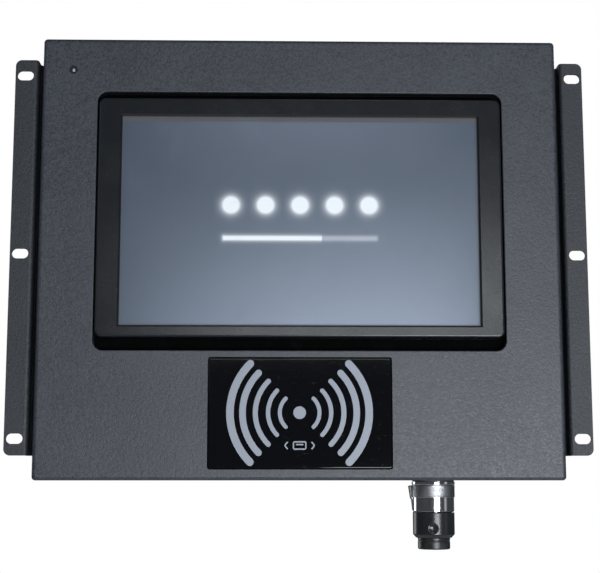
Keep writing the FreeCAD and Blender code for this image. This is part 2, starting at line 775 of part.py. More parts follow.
def harness():
    """The wire bundle from the connector to the main board."""
    y, low = connector_depth, bottom_z + shell_inside + cup_length + harness_gap
    end_y = board_back + lead_socket[1] / 2
    points = [V(connector_x, y, low), V(connector_x, y, low + harness_rise),
              V(harness_end_x, end_y, leads_end_z - harness_drop), V(harness_end_x, end_y, leads_end_z)]
    return lead(points, harness_bend, harness_diameter)


def reader_lead():
    """The thin lead from the card reader to the main board."""
    end_y = board_back + lead_socket[1] / 2
    x, start_y = reader_lead_x, reader_back + reader_socket_height
    points = [V(x, start_y, reader_lead_z), V(x, end_y, reader_lead_z), V(x, end_y, leads_end_z)]
    return lead(points, reader_lead_bend, reader_lead_diameter)


# ---- card reader -----------------------------------------------------------------------------------------
def card_window():
    """The dark acrylic card window: a bevelled face in the opening and a rim behind the cover."""
    w, h = card_width / 2, card_height / 2
    rim_y = inner_y + tape_thickness
    face = slab(-w, w, card_sunk, rim_y + card_rim_thickness, card_z - h, card_z + h, card_radius)
    face = face.makeChamfer(card_chamfer, edges_at(face, Y_AXIS, card_sunk))
    rim = slab(-w - card_rim_side, w + card_rim_side, rim_y, rim_y + card_rim_thickness,
               card_z - h - card_rim_bottom, card_z + h + card_rim_top, card_radius)
    return joined([face, rim])


def window_tape():
    """The adhesive frame between the card window's rim and the front cover."""
    w, h, side = card_width / 2, card_height / 2, card_rim_side - tape_inset
    low, high = card_z - h - card_rim_bottom + tape_inset, card_z + h + card_rim_top - tape_inset
    outer = slab(-w - side, w + side, inner_y, inner_y + tape_thickness, low, high, card_radius)
    w, h = w + card_gap + tape_gap, h + card_gap + tape_gap
    inner = slab(-w, w, inner_y - 1, inner_y + 1, card_z - h, card_z + h, card_radius)
    return outer.cut(inner)


def reader_board():
    """The card reader's circuit board."""
    w, h = reader_width / 2, reader_height / 2
    board = slab(-w, w, reader_y, reader_back, card_z - h, card_z + h, reader_radius)
    holes = [rod(m3_bore, 3 * board_thickness, x, reader_y - 1, z, Y_AXIS) for x, z in reader_points]
    return board.cut(joined(holes))


def reader_parts():
    """Chips and the lead's socket on the back of the reader board."""
    y, half = reader_back, reader_chip / 2
    parts = [block(-half, half, y, y + reader_chip_height, card_z - half, card_z + half)]
    parts.append(block(18.0, 24.0, y, y + 1.2, card_z - 5.0, card_z + 2.0))
    x, z, w, h = reader_lead_x, reader_lead_z, reader_socket_width / 2, reader_socket_length / 2
    parts.append(block(x - w, x + w, y, y + reader_socket_height, z - h, z + h))
    return parts


def antenna_coil():
    """Nested copper loops on the front of the reader board."""
    loops = []
    for turn in range(coil_turns):
        w, h = coil_half_width - turn * coil_pitch, coil_half_height - turn * coil_pitch
        y = reader_y - coil_thickness
        outer = slab(-w, w, y, reader_y, card_z - h, card_z + h, coil_radius)
        w, h = w - coil_track, h - coil_track
        inner = slab(-w, w, y - 1, reader_y + 1, card_z - h, card_z + h, coil_radius - coil_track)
        loops.append(outer.cut(inner))
    return loops


def ferrite_sheet():
    """The ferrite sheet inside the antenna loops."""
    w, h = coil_half_width - coil_turns * coil_pitch, coil_half_height - coil_turns * coil_pitch
    return slab(-w, w, reader_y - ferrite_thickness, reader_y, card_z - h, card_z + h, coil_radius / 2)


def reader_standoffs():
    """Threaded pillars on the front cover that carry the reader board."""
    radius = reader_standoff_radius
    return [tube(radius, m3_bore, reader_standoff, x, inner_y, z, Y_AXIS) for x, z in reader_points]


def reader_screws():
    """Screws that hold the reader board to its pillars."""
    screws = []
    for x, z in reader_points:
        head = rod(m3_head / 2, m3_head_height, x, reader_back, z, Y_AXIS)
        reach = board_thickness + reader_standoff - reader_screw_gap
        screws.append(joined([head, rod(m3_shank / 2, reach, x, reader_back - reach, z, Y_AXIS)]))
    return screws


# ---- indicator -------------------------------------------------------------------------------------------
def indicator_light_pipe():
    """The clear light pipe behind the indicator hole, with a flange on the cover."""
    x, z = indicator_x, indicator_z
    length = inner_y - indicator_sunk + indicator_pipe_behind
    pipe = rod(indicator_lens / 2, length, x, indicator_sunk, z, Y_AXIS)
    flange = rod(indicator_flange / 2, indicator_flange_thickness, x, inner_y, z, Y_AXIS)
    return joined([pipe, flange])


def indicator_board():
    """The small board with the indicator's lamp, behind the light pipe."""
    x, y, z = indicator_x, inner_y + indicator_pillar_length, indicator_z
    half, lamp = indicator_board_size / 2, indicator_lamp / 2
    board = slab(x - half, x + half, y, y + indicator_board_thickness, z - half, z + half, 1.0)
    return [board, block(x - lamp, x + lamp, y - indicator_lamp_height, y, z - lamp, z + lamp)]


def indicator_pillars():
    """Two pillars that carry the indicator's board."""
    radius, places = indicator_pillar / 2, (indicator_x - indicator_pillar_x, indicator_x + indicator_pillar_x)
    return [rod(radius, indicator_pillar_length, x, inner_y, indicator_z, Y_AXIS) for x in places]


# ---- connector -------------------------------------------------------------------------------------------
def socket_shell():
    """The threaded shell of the connector, through the floor of the case, with its outer collar."""
    x, y = connector_x, connector_depth
    wall_z = bottom_z - seal_height
    low = bottom_z - shell_outside
    body = rod(shell_radius, shell_outside + shell_inside, x, y, low)
    collar = rod(collar_radius, collar_height, x, y, wall_z - collar_height)
    collar = collar.makeFillet(collar_edge_round, edges_at(collar, Z_AXIS, wall_z - collar_height))
    body = joined([body, collar])
    grooves = []
    z = low + thread_pitch
    while z < wall_z - collar_height - thread_pitch:
        wide, narrow = shell_radius + thread_depth, shell_radius - thread_depth
        ring = cone(wide, narrow, thread_depth, x, y, z)
        ring = ring.fuse(cone(narrow, wide, thread_depth, x, y, z + thread_depth))
        grooves.append(rod(wide, 2 * thread_depth, x, y, z).cut(ring))
        z += thread_pitch
    body = body.cut(Part.makeCompound(grooves))
    mouth = rod(shell_bore, shell_outside + shell_inside + 1, x, y, low - 0.5)
    return body.cut(mouth)


def socket_insert():
    """The insulator with its pins and solder cups."""
    x, y = connector_x, connector_depth
    base, top = bottom_z - insert_base, bottom_z + shell_inside
    pin_end = bottom_z - shell_outside + pin_recess
    disc = rod(shell_bore, top - base, x, y, base)
    pins = []
    for px, py in pin_points:
        pins.append(rod(pin_radius, base - pin_end, px, py, pin_end))
        pins.append(rod(cup_radius, cup_length, px, py, top))
    return joined([disc, *pins])


def socket_seal():
    """The flat seal between the collar and the case."""
    outer, inner = collar_radius - seal_step, shell_radius + nut_gap
    return tube(outer, inner, seal_height, connector_x, connector_depth, bottom_z - seal_height)


def socket_nut():
    """The hexagonal nut inside the case."""
    x, y, z = connector_x, connector_depth, bottom_z + sheet
    bore = rod(shell_radius + nut_gap, nut_height + 2, x, y, z - 1)
    return hexagon(nut_across, nut_height, x, y, z, Z_AXIS).cut(bore)


def coupling_ring():
    """The plated ring that screws the plug to the socket: knurled above, smooth below."""
    x, y = connector_x, connector_depth
    grip_radius = ring_radius + grip_step
    smooth = rod(ring_radius, ring_length, x, y, ring_low)
    smooth = smooth.makeFillet(ring_edge_round, edges_at(smooth, Z_AXIS, ring_low))
    grip = rod(grip_radius, ring_grip, x, y, ring_top - ring_grip)
    ends = edges_at(grip, Z_AXIS, ring_top) + edges_at(grip, Z_AXIS, ring_top - ring_grip)
    grip = grip.makeFillet(grip_edge_round, ends)
    body = joined([smooth, grip])
    bore = rod(shell_radius + running_gap, ring_length - ring_back_wall, x, y, ring_low + ring_back_wall)
    neck = rod(neck_radius, ring_back_wall + 1, x, y, ring_low - 0.5)
    body = body.cut(joined([bore, neck]))
    flutes = []
    for k in range(ring_knurls):
        angle = 2 * math.pi * k / ring_knurls
        reach = grip_radius + knurl_depth
        flutes.append(rod(2 * knurl_depth, ring_grip - 2 * knurl_inset, x + reach * math.cos(angle),
                          y + reach * math.sin(angle), ring_top - ring_grip + knurl_inset))
    return body.cut(Part.makeCompound(flutes))


def ring_rib():
    """The tapered index rib on the side of the ring."""
    x, y = connector_x - ring_radius, connector_depth
    low, high = ring_low + rib_above_low, ring_top - rib_below_top
    root, tip = x + rib_root, x - rib_height
    points = [V(root, 0, low), V(root, 0, high), V(tip, 0, high), V(tip + rib_slope, 0, high - 3 * rib_slope),
              V(x - rib_foot, 0, low), V(root, 0, low)]
    body = Part.Face(Part.makePolygon(points)).extrude(V(0, rib_thickness, 0))
    body.translate(V(0, y - rib_thickness / 2, 0))
    body = body.cut(rod(ring_radius, ring_length + 2, connector_x, y, ring_low - 1))
    grip = rod(ring_radius + grip_step, ring_grip, connector_x, y, ring_top - ring_grip)
    return body.cut(grip)


def plug_barrel():
    """The metal barrel of the plug, which enters the socket and carries the ring on its flange."""
    x, y = connector_x, connector_depth
    body = rod(shell_bore - running_gap, barrel_top - ring_low, x, y, ring_low)
    tail = rod(neck_radius - running_gap, ring_low + ring_back_wall - barrel_low, x, y, barrel_low)
    flange = rod(shell_radius - barrel_flange_gap, barrel_flange_height, x, y, barrel_flange_z)
    body = joined([body, tail, flange])
    return body.cut(rod(core_radius, barrel_top - barrel_low + 2, x, y, barrel_low - 1))


def plug_insert():
    """The plug's insulator, with a hole for each pin."""
    x, y = connector_x, connector_depth
    top, low = barrel_top - 2 * running_gap, ring_low - plug_insert_tail
    body = rod(core_radius, top - low, x, y, low)
    hole_low = bottom_z - shell_outside + pin_recess - pin_hole_gap
    holes = [rod(pin_radius + running_gap, shell_outside, px, py, hole_low) for px, py in pin_points]
    return body.cut(joined(holes))


def plug_body():
    """The black moulded grip of the plug, with a shallow thumb dimple."""
    x, y = connector_x, connector_depth
    straight = rod(body_radius, body_length - body_taper, x, y, body_low + body_taper)
    taper = cone(boot_radius + body_taper_step, body_radius, body_taper, x, y, body_low)
    body = joined([straight, taper])
    body = body.makeFillet(body_edge_round, edges_at(body, Z_AXIS, body_top))
    inside = rod(neck_radius - running_gap, body_top - barrel_low, x, y, barrel_low)
    throat = rod(core_radius, body_length, x, y, body_low - 1)
    dimple_y = y - body_radius - dimple_radius + dimple_depth
    dimple = Part.makeSphere(dimple_radius, V(x, dimple_y, body_low + body_length * dimple_height))
    return body.cut(joined([inside, throat])).cut(dimple)


def plug_boot():
    """The rubber cable seal at the end of the plug, with its round cable entry."""
    x, y = connector_x, connector_depth
    outside = rod(boot_radius, boot_length, x, y, boot_low)
    outside = outside.makeFillet(boot_edge_round, edges_at(outside, Z_AXIS, boot_low))
    stem = rod(core_radius, entry_length - boot_length, x, y, body_low)
    plain = joined([outside, stem])
    return plain.cut(rod(entry_radius, entry_length + 2, x, y, boot_low - 1))


# ---- everything ------------------------------------------------------------------------------------------
def main():
    """Builds and writes every node."""
    os.makedirs("parts", exist_ok=True)
    save("front_cover", front_cover())
    save("rear_cover", rear_cover())
    save("left_wing", wing(-1))
    save("right_wing", wing(1))
    save("left_wing_screws", *wing_screws(-1))
    save("right_wing_screws", *wing_screws(1))
    save("wing_nuts", *wing_nuts())
    save("cover_screws", *cover_screws())
    save("cover_nuts", *cover_nuts())
    save("display_bezel", display_bezel())
    save("display_gasket", display_gasket())
    save("touch_glass", touch_glass())
    save("lcd_cell", lcd_cell())
    save("lcd_backlight", lcd_backlight())
    save("display_pads", *display_pads())
    save("chassis_plate", chassis_plate())
    save("chassis_posts", *chassis_posts())
    save("chassis_nuts", *chassis_nuts())
    save("main_board", main_board())
    save("board_parts", *board_parts())
    save("heat_sink", heat_sink())
    save("board_standoffs", *board_standoffs())
    save("board_screws", *board_screws())
    save("power_converter", power_converter())
    save("display_ribbon", display_ribbon())
    save("harness", harness())
    save("reader_lead", reader_lead())
    save("card_window", card_window())
    save("window_tape", window_tape())
    save("reader_board", reader_board())
    save("reader_parts", *reader_parts())
    save("antenna_coil", *antenna_coil())
    save("ferrite_sheet", ferrite_sheet())
    save("reader_standoffs", *reader_standoffs())
    save("reader_screws", *reader_screws())
    save("indicator_light_pipe", indicator_light_pipe())
    save("indicator_board", *indicator_board())
    save("indicator_pillars", *indicator_pillars())
    save("socket_shell", socket_shell())
    save("socket_insert", socket_insert())
    save("socket_seal", socket_seal())
    save("socket_nut", socket_nut())
    save("coupling_ring", coupling_ring())
    save("ring_rib", ring_rib())
    save("plug_barrel", plug_barrel())
    save("plug_insert", plug_insert())
    save("plug_body", plug_body())
    save("plug_boot", plug_boot())


main()
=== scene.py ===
"""Finishes, fine detail, lights and camera for a panel-mount ticket terminal. Lengths are in metres.

+X is to the right seen from the front, +Z is up and the screen faces -Y.
"""

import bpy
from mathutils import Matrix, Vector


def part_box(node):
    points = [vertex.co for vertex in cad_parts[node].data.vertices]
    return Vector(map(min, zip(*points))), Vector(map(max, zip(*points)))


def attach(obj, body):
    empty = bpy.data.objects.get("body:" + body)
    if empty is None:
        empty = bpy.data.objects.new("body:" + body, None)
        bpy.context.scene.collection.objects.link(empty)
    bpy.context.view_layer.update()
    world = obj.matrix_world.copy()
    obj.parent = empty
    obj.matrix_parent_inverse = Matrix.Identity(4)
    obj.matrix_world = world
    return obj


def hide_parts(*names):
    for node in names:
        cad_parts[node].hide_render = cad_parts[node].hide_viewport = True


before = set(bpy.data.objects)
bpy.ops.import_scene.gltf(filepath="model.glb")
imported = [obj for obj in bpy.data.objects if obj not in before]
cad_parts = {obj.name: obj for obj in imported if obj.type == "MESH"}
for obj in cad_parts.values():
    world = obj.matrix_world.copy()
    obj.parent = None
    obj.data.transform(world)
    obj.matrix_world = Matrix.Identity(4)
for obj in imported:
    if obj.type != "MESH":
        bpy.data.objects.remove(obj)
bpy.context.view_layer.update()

import logging
import math
from dataclasses import dataclass
from enum import Enum
from typing import Any

import bmesh
import bpy
import numpy as np

LOG = logging.getLogger("terminal")
Colour = tuple[float, float, float, float]
Point = tuple[float, float, float]
MM = 0.001
SQUARE = 0.3  # the power that squares off a flat section


class Body(Enum):
    """The rigid bodies that pieces ride on."""

    TERMINAL = "terminal"
    PLUG = "plug"
    RING = "ring"


class Slot(Enum):
    """The names of the material slots; nothing here gives a piece a slot through them."""

    ACRYLIC = "black_acrylic"
    FOAM = "foam"
    LENS = "clear_lens"
    NICKEL = "nickel"
    PLUG = "plug_plastic"
    RUBBER = "seal_rubber"


def grey(level: float) -> Colour:
    """A neutral opaque colour."""
    return (level, level, level, 1.0)


def rgb(red: float, green: float, blue: float) -> Colour:
    """An opaque colour."""
    return (red, green, blue, 1.0)


# Shader maths
class Value:
    """A shader socket that can be written in sums. Each operation adds one Math node."""

    def __init__(self, tree: "Tree", socket: bpy.types.NodeSocket) -> None:
        """Wraps one output socket of a node in that tree."""
        self.tree = tree
        self.socket = socket

    def _math(self, operation: str, *terms: Any, clamp: bool = False) -> "Value":
        """Adds a Math node.

        Args:
            operation: The node's operation.
            terms: Its inputs in order, values or numbers.
            clamp: Whether the result is held between 0 and 1.

        Returns:
            The node's result.
        """
        settings = {"operation": operation, "use_clamp": clamp}
        return self.tree.value("ShaderNodeMath", settings, dict(enumerate(terms)))

    def __add__(self, other: Any) -> "Value":
        """self + other."""
        return self._math("ADD", self, other)

    def __radd__(self, other: Any) -> "Value":
        """other + self."""
        return self._math("ADD", other, self)

    def __sub__(self, other: Any) -> "Value":
        """self - other."""
        return self._math("SUBTRACT", self, other)

    def __rsub__(self, other: Any) -> "Value":
        """other - self."""
        return self._math("SUBTRACT", other, self)

    def __mul__(self, other: Any) -> "Value":
        """self * other."""
        return self._math("MULTIPLY", self, other)

    def __rmul__(self, other: Any) -> "Value":
        """other * self."""
        return self._math("MULTIPLY", other, self)

    def __truediv__(self, other: Any) -> "Value":
        """self / other."""
        return self._math("DIVIDE", self, other)

    def __pow__(self, other: Any) -> "Value":
        """self to the power of other."""
        return self._math("POWER", self, other)

    def __abs__(self) -> "Value":
        """The size of self, without its sign."""
        return self._math("ABSOLUTE", self)

    def __lt__(self, other: Any) -> "Value":
        """1 where self is less than other."""
        return self._math("LESS_THAN", self, other)

    def root(self) -> "Value":
        """The square root."""
        return self._math("SQRT", self)

    def least(self, other: Any) -> "Value":
        """The smaller of two values."""
        return self._math("MINIMUM", self, other)

    def most(self, other: Any) -> "Value":
        """The larger of two values."""
        return self._math("MAXIMUM", self, other)

    def held(self) -> "Value":
        """The value held between 0 and 1."""
        return self._math("ADD", self, 0.0, clamp=True)

    def fade(self, reach: Any) -> "Value":
        """e to the power of -self / reach: a glow that fades with distance."""
        return self._math("EXPONENT", 0.0 - self / reach)

    def sine(self) -> "Value":
        """The sine of the value in radians."""
        return self._math("SINE", self)

    def repeat(self, pitch: float) -> "Value":
        """The signed distance from the nearest multiple of a pitch."""
        return self._math("PINGPONG", self, pitch / 2)

    def ramp(self, low: float, high: float) -> "Value":
        """A smooth step from 0 at low to 1 at high."""
        terms = {"Value": self, "From Min": low, "From Max": high}
        return self.tree.value("ShaderNodeMapRange", {"interpolation_type": "SMOOTHSTEP"}, terms)


class Tree:
    """A node tree, and the one way to add a node to it."""

    def __init__(self, owner: bpy.types.Material | bpy.types.World) -> None:
        """Empties a node tree.

        Args:
            owner: What the nodes belong to.
        """
        owner.use_nodes = True
        self.nodes = owner.node_tree.nodes
        self.links = owner.node_tree.links
        self.nodes.clear()

    def fill(self, node: bpy.types.Node, sockets: dict[Any, Any]) -> None:
        """Links or sets a node's inputs.

        Args:
            node: The node.
            sockets: Input name or number to a value or a constant.
        """
        for key, term in sockets.items():
            if isinstance(term, Value):
                self.links.new(term.socket, node.inputs[key])
            else:
                node.inputs[key].default_value = term

    def node(self, kind: str, settings: dict[str, Any], sockets: dict[Any, Any]) -> bpy.types.Node:
        """Adds a node.

        Args:
            kind: The node's type name.
            settings: Properties to set first.
            sockets: Input name or number to a value or a constant.

        Returns:
            The node.
        """
        node = self.nodes.new(kind)
        for key, setting in settings.items():
            setattr(node, key, setting)
        self.fill(node, sockets)
        return node

    def value(self, kind: str, settings: dict[str, Any], sockets: dict[Any, Any], out: Any = 0) -> Value:
        """Adds a node and returns one of its outputs."""
        return Value(self, self.node(kind, settings, sockets).outputs[out])


class Recipe(Tree):
    """One node-based material, built round a Principled shader."""

    def __init__(self, name: str) -> None:
        """Starts a material.

        Args:
            name: The material's name.
        """
        self.material = bpy.data.materials.new(name)
        super().__init__(self.material)
        self.shader = self.node("ShaderNodeBsdfPrincipled", {}, {})
        self.surface = Value(self, self.shader.outputs[0])
        self.output = self.node("ShaderNodeOutputMaterial", {}, {"Surface": self.surface})

    def place(self, scale: Point = (1.0, 1.0, 1.0), centre: Point = (0.0, 0.0, 0.0)) -> Value:
        """The point on the object.

        Args:
            scale: How much it is stretched along each axis.
            centre: Where it is counted from.

        Returns:
            The point as a vector.
        """
        point = self.value("ShaderNodeTexCoord", {}, {}, "Object")
        moved = self.value("ShaderNodeVectorMath", {"operation": "SUBTRACT"}, {0: point, 1: centre})
        return self.value("ShaderNodeVectorMath", {"operation": "MULTIPLY"}, {0: moved, 1: scale})

    def axes(self, centre: Point = (0.0, 0.0, 0.0)) -> tuple[Value, Value, Value]:
        """The three coordinates of the point on the object, counted from a centre."""
        parts = self.node("ShaderNodeSeparateXYZ", {}, {0: self.place(centre=centre)})
        return tuple(Value(self, out) for out in parts.outputs)

    def noise(self, grain: float, detail: float, where: Value | None = None, rough: float = 0.5) -> Value:
        """Cloudy noise from 0 to 1 with grains of about that size."""
        sockets = {"Vector": where or self.place(), "Scale": 1.0 / grain, "Detail": detail}
        return self.value("ShaderNodeTexNoise", {}, sockets | {"Roughness": rough})

    def cells(self, size: float) -> Value:
        """Distance from the nearest of scattered points, about that size apart."""
        return self.value("ShaderNodeTexVoronoi", {}, {"Vector": self.place(), "Scale": 1.0 / size})

    def blend(self, share: Any, first: Any, second: Any) -> Value:
        """Colour first where share is 0 and colour second where it is 1."""
        return self.value("ShaderNodeMix", {"data_type": "RGBA"}, {0: share, 6: first, 7: second}, 2)

    def bump(self, height: Value, depth: float, strength: float) -> Value:
        """A normal bent by a height from 0 to 1 that stands for that depth."""
        return self.value("ShaderNodeBump", {}, {"Height": height, "Distance": depth, "Strength": strength})

    def finish(self, sockets: dict[str, Any]) -> bpy.types.Material:
        """Fills the shader's own sockets and returns the material."""
        self.fill(self.shader, sockets)
        return self.material


# Finishes
@dataclass(frozen=True)
class PowderCoat:
    """Textured black powder coat on sheet steel: fine sand over a soft orange peel, with handling marks."""

    dark: Colour = rgb(0.0095, 0.0115, 0.016)
    pale: Colour = rgb(0.046, 0.053, 0.070)
    sand: float = 0.55 * MM
    peel: float = 1.6 * MM
    cloud: float = 38.0 * MM
    depth: float = 0.22 * MM
    sheen: float = 0.49
    scuff: float = 9.0 * MM
    scuff_colour: Colour = rgb(0.068, 0.076, 0.096)

    def make(self, name: str) -> bpy.types.Material:
        """Builds the material.

        Args:
            name: The material's name.

        Returns:
            The material.
        """
        r = Recipe(name)
        sand, peel = r.noise(self.sand, 3.0), r.noise(self.peel, 2.0)
        cloud = r.noise(self.cloud, 3.0)
        grain = (sand * 0.55 + peel * 0.30 + cloud * 0.15).ramp(0.30, 0.70)
        scuffs = r.noise(self.scuff, 6.0, r.place((1.0, 1.0, 0.25)), 0.7).ramp(0.60, 0.78)
        return r.finish({
            "Base Color": r.blend(scuffs * 0.25, r.blend(grain, self.dark, self.pale), self.scuff_colour),
            "Roughness": self.sheen + 0.34 * (peel - 0.5) - 0.08 * scuffs,
            "Specular IOR Level": 0.65,
            "Normal": r.bump(sand * 0.6 + peel * 0.6, self.depth, 0.8),
        })


@dataclass(frozen=True)
class Moulded:
    """Moulded plastic with a fine spark-eroded grain and slight flow marks."""

    colour: Colour
    grain: float = 0.28 * MM
    roughness: float = 0.42
    depth: float = 0.010 * MM
    worn: Colour = rgb(0.10, 0.105, 0.115)
    gloss: float = 0.5
    flow: float = 24.0 * MM
    rub: float = 5.0 * MM

    def make(self, name: str) -> bpy.types.Material:
        """Builds the material.

        Args:
            name: The material's name.

        Returns:
            The material.
        """
        r = Recipe(name)
        grain, flow = r.noise(self.grain, 2.0), r.noise(self.flow, 4.0, rough=0.6)
        rub = r.noise(self.rub, 5.0, rough=0.65).ramp(0.55, 0.80)
        return r.finish({
            "Base Color": r.blend((0.12 * flow + 0.22 * rub + 0.10 * grain).held(), self.colour, self.worn),
            "Roughness": self.roughness + 0.14 * (flow - 0.5) + 0.10 * (grain - 0.5),
            "Specular IOR Level": self.gloss,
            "Normal": r.bump(grain, self.depth, 0.7),
        })


@dataclass(frozen=True)
class Plated:
    """Plated or plain metal with turning marks round an axis and small stains.

    It is satin above a height, which is out of reach unless it is given.
    """

    colour: Colour
    roughness: float = 0.16
    marks: float = 0.16 * MM
    depth: float = 0.0025 * MM
    stretch: Point = (0.04, 0.04, 1.0)
    tint: Colour = rgb(0.42, 0.42, 0.43)
    satin_above: float = 9.0
    satin_edge: float = 0.2 * MM
    stain: float = 3.2 * MM

    def make(self, name: str) -> bpy.types.Material:
        """Builds the material.

        Args:
            name: The material's name.

        Returns:
            The material.
        """
        r = Recipe(name)
        lines = r.noise(self.marks, 2.0, r.place(self.stretch))
        stain = r.noise(self.stain, 5.0, rough=0.65).ramp(0.52, 0.75)
        satin = r.axes()[2].ramp(self.satin_above - self.satin_edge, self.satin_above + self.satin_edge)
        return r.finish({
            "Base Color": r.blend((0.35 * stain + 0.75 * satin).held(), self.colour, self.tint),
            "Metallic": 1.0,
            "Roughness": self.roughness + 0.10 * (lines - 0.5) + 0.10 * stain + 0.24 * satin,
            "Normal": r.bump(lines, self.depth, 0.6),
        })


@dataclass(frozen=True)
class Gloss:
    """Polished black acrylic with hairline scratches, dust and a faint haze."""

    colour: Colour = rgb(0.0028, 0.0033, 0.0042)
    dust: Colour = rgb(0.16, 0.17, 0.18)
    hair: float = 0.9 * MM
    speck: float = 2.6 * MM
    haze: float = 14.0 * MM

    def make(self, name: str) -> bpy.types.Material:
        """Builds the material.

        Args:
            name: The material's name.

        Returns:
            The material.
        """
        r = Recipe(name)
        hair = r.noise(self.hair, 2.0, r.place((0.18, 1.0, 2.2)), 0.4).ramp(0.66, 0.74)
        dust = 1.0 - r.cells(self.speck).ramp(0.03, 0.075)
        haze = r.noise(self.haze, 4.0, rough=0.6)
        return r.finish({
            "Base Color": r.blend((0.02 * hair + 0.10 * dust).held(), self.colour, self.dust),
            "Roughness": 0.03 + 0.04 * haze + 0.10 * hair + 0.3 * dust,
            "Specular IOR Level": 0.28,
            "Normal": r.bump(haze + 0.2 * hair, 0.006 * MM, 0.5),
        })


@dataclass(frozen=True)
class Ink:
    """Screen-printed light grey ink, thin enough to show a little mesh."""

    colour: Colour = rgb(0.27, 0.295, 0.35)
    thin: Colour = rgb(0.215, 0.235, 0.285)
    mesh: float = 0.24 * MM
    cloud: float = 1.6 * MM

    def make(self, name: str) -> bpy.types.Material:
        """Builds the material.

        Args:
            name: The material's name.

        Returns:
            The material.
        """
        r = Recipe(name)
        x, _, z = r.axes()
        weave = (x * (math.tau / self.mesh)).sine() * (z * (math.tau / self.mesh)).sine()
        cloud = r.noise(self.cloud, 3.0)
        return r.finish({
            "Base Color": r.blend(0.25 * cloud, self.colour, self.thin),
            "Roughness": 0.42 + 0.12 * cloud,
            "Normal": r.bump(weave * 0.5 + 0.5, 0.004 * MM, 0.6),
        })


@dataclass(frozen=True)
class Rubber:
    """Matt black rubber or foam with a fine pore pattern and pale bloom."""

    colour: Colour = rgb(0.014, 0.015, 0.017)
    bloom: Colour = rgb(0.06, 0.06, 0.063)
    pores: float = 0.5 * MM
    depth: float = 0.02 * MM
    roughness: float = 0.6
    gloss: float = 0.5
    bloom_size: float = 6.0 * MM

    def make(self, name: str) -> bpy.types.Material:
        """Builds the material.

        Args:
            name: The material's name.

        Returns:
            The material.
        """
        r = Recipe(name)
        pores, bloom = r.cells(self.pores), r.noise(self.bloom_size, 5.0, rough=0.65)
        return r.finish({
            "Base Color": r.blend(bloom.ramp(0.45, 0.80), self.colour, self.bloom),
            "Roughness": self.roughness + 0.2 * (bloom - 0.5),
            "Specular IOR Level": self.gloss,
            "Normal": r.bump(pores, self.depth, 0.6),
        })


@dataclass(frozen=True)
class CoverGlass:
    """The clear cover glass of the screen, with a very light haze of fingerprints."""

    alpha: float = 0.10
    smear: float = 16.0 * MM
    ridge: float = 1.1 * MM

    def make(self, name: str) -> bpy.types.Material:
        """Builds the material.

        Args:
            name: The material's name.

        Returns:
            The material.
        """
        r = Recipe(name)
        smear = r.noise(self.smear, 5.0, r.place((1.0, 1.0, 0.55)), 0.6).ramp(0.52, 0.74)
        ridges = (r.noise(self.ridge, 2.0, r.place((1.0, 1.0, 0.35))) * 40.0).sine()
        return r.finish({
            "Base Color": rgb(0.30, 0.36, 0.44),
            "Roughness": 0.22 + 0.10 * smear,
            "Alpha": self.alpha + 0.05 * smear,
            "Specular IOR Level": 0.5,
            "Normal": r.bump(smear * (ridges * 0.5 + 0.5), 0.002 * MM, 0.3),
        })


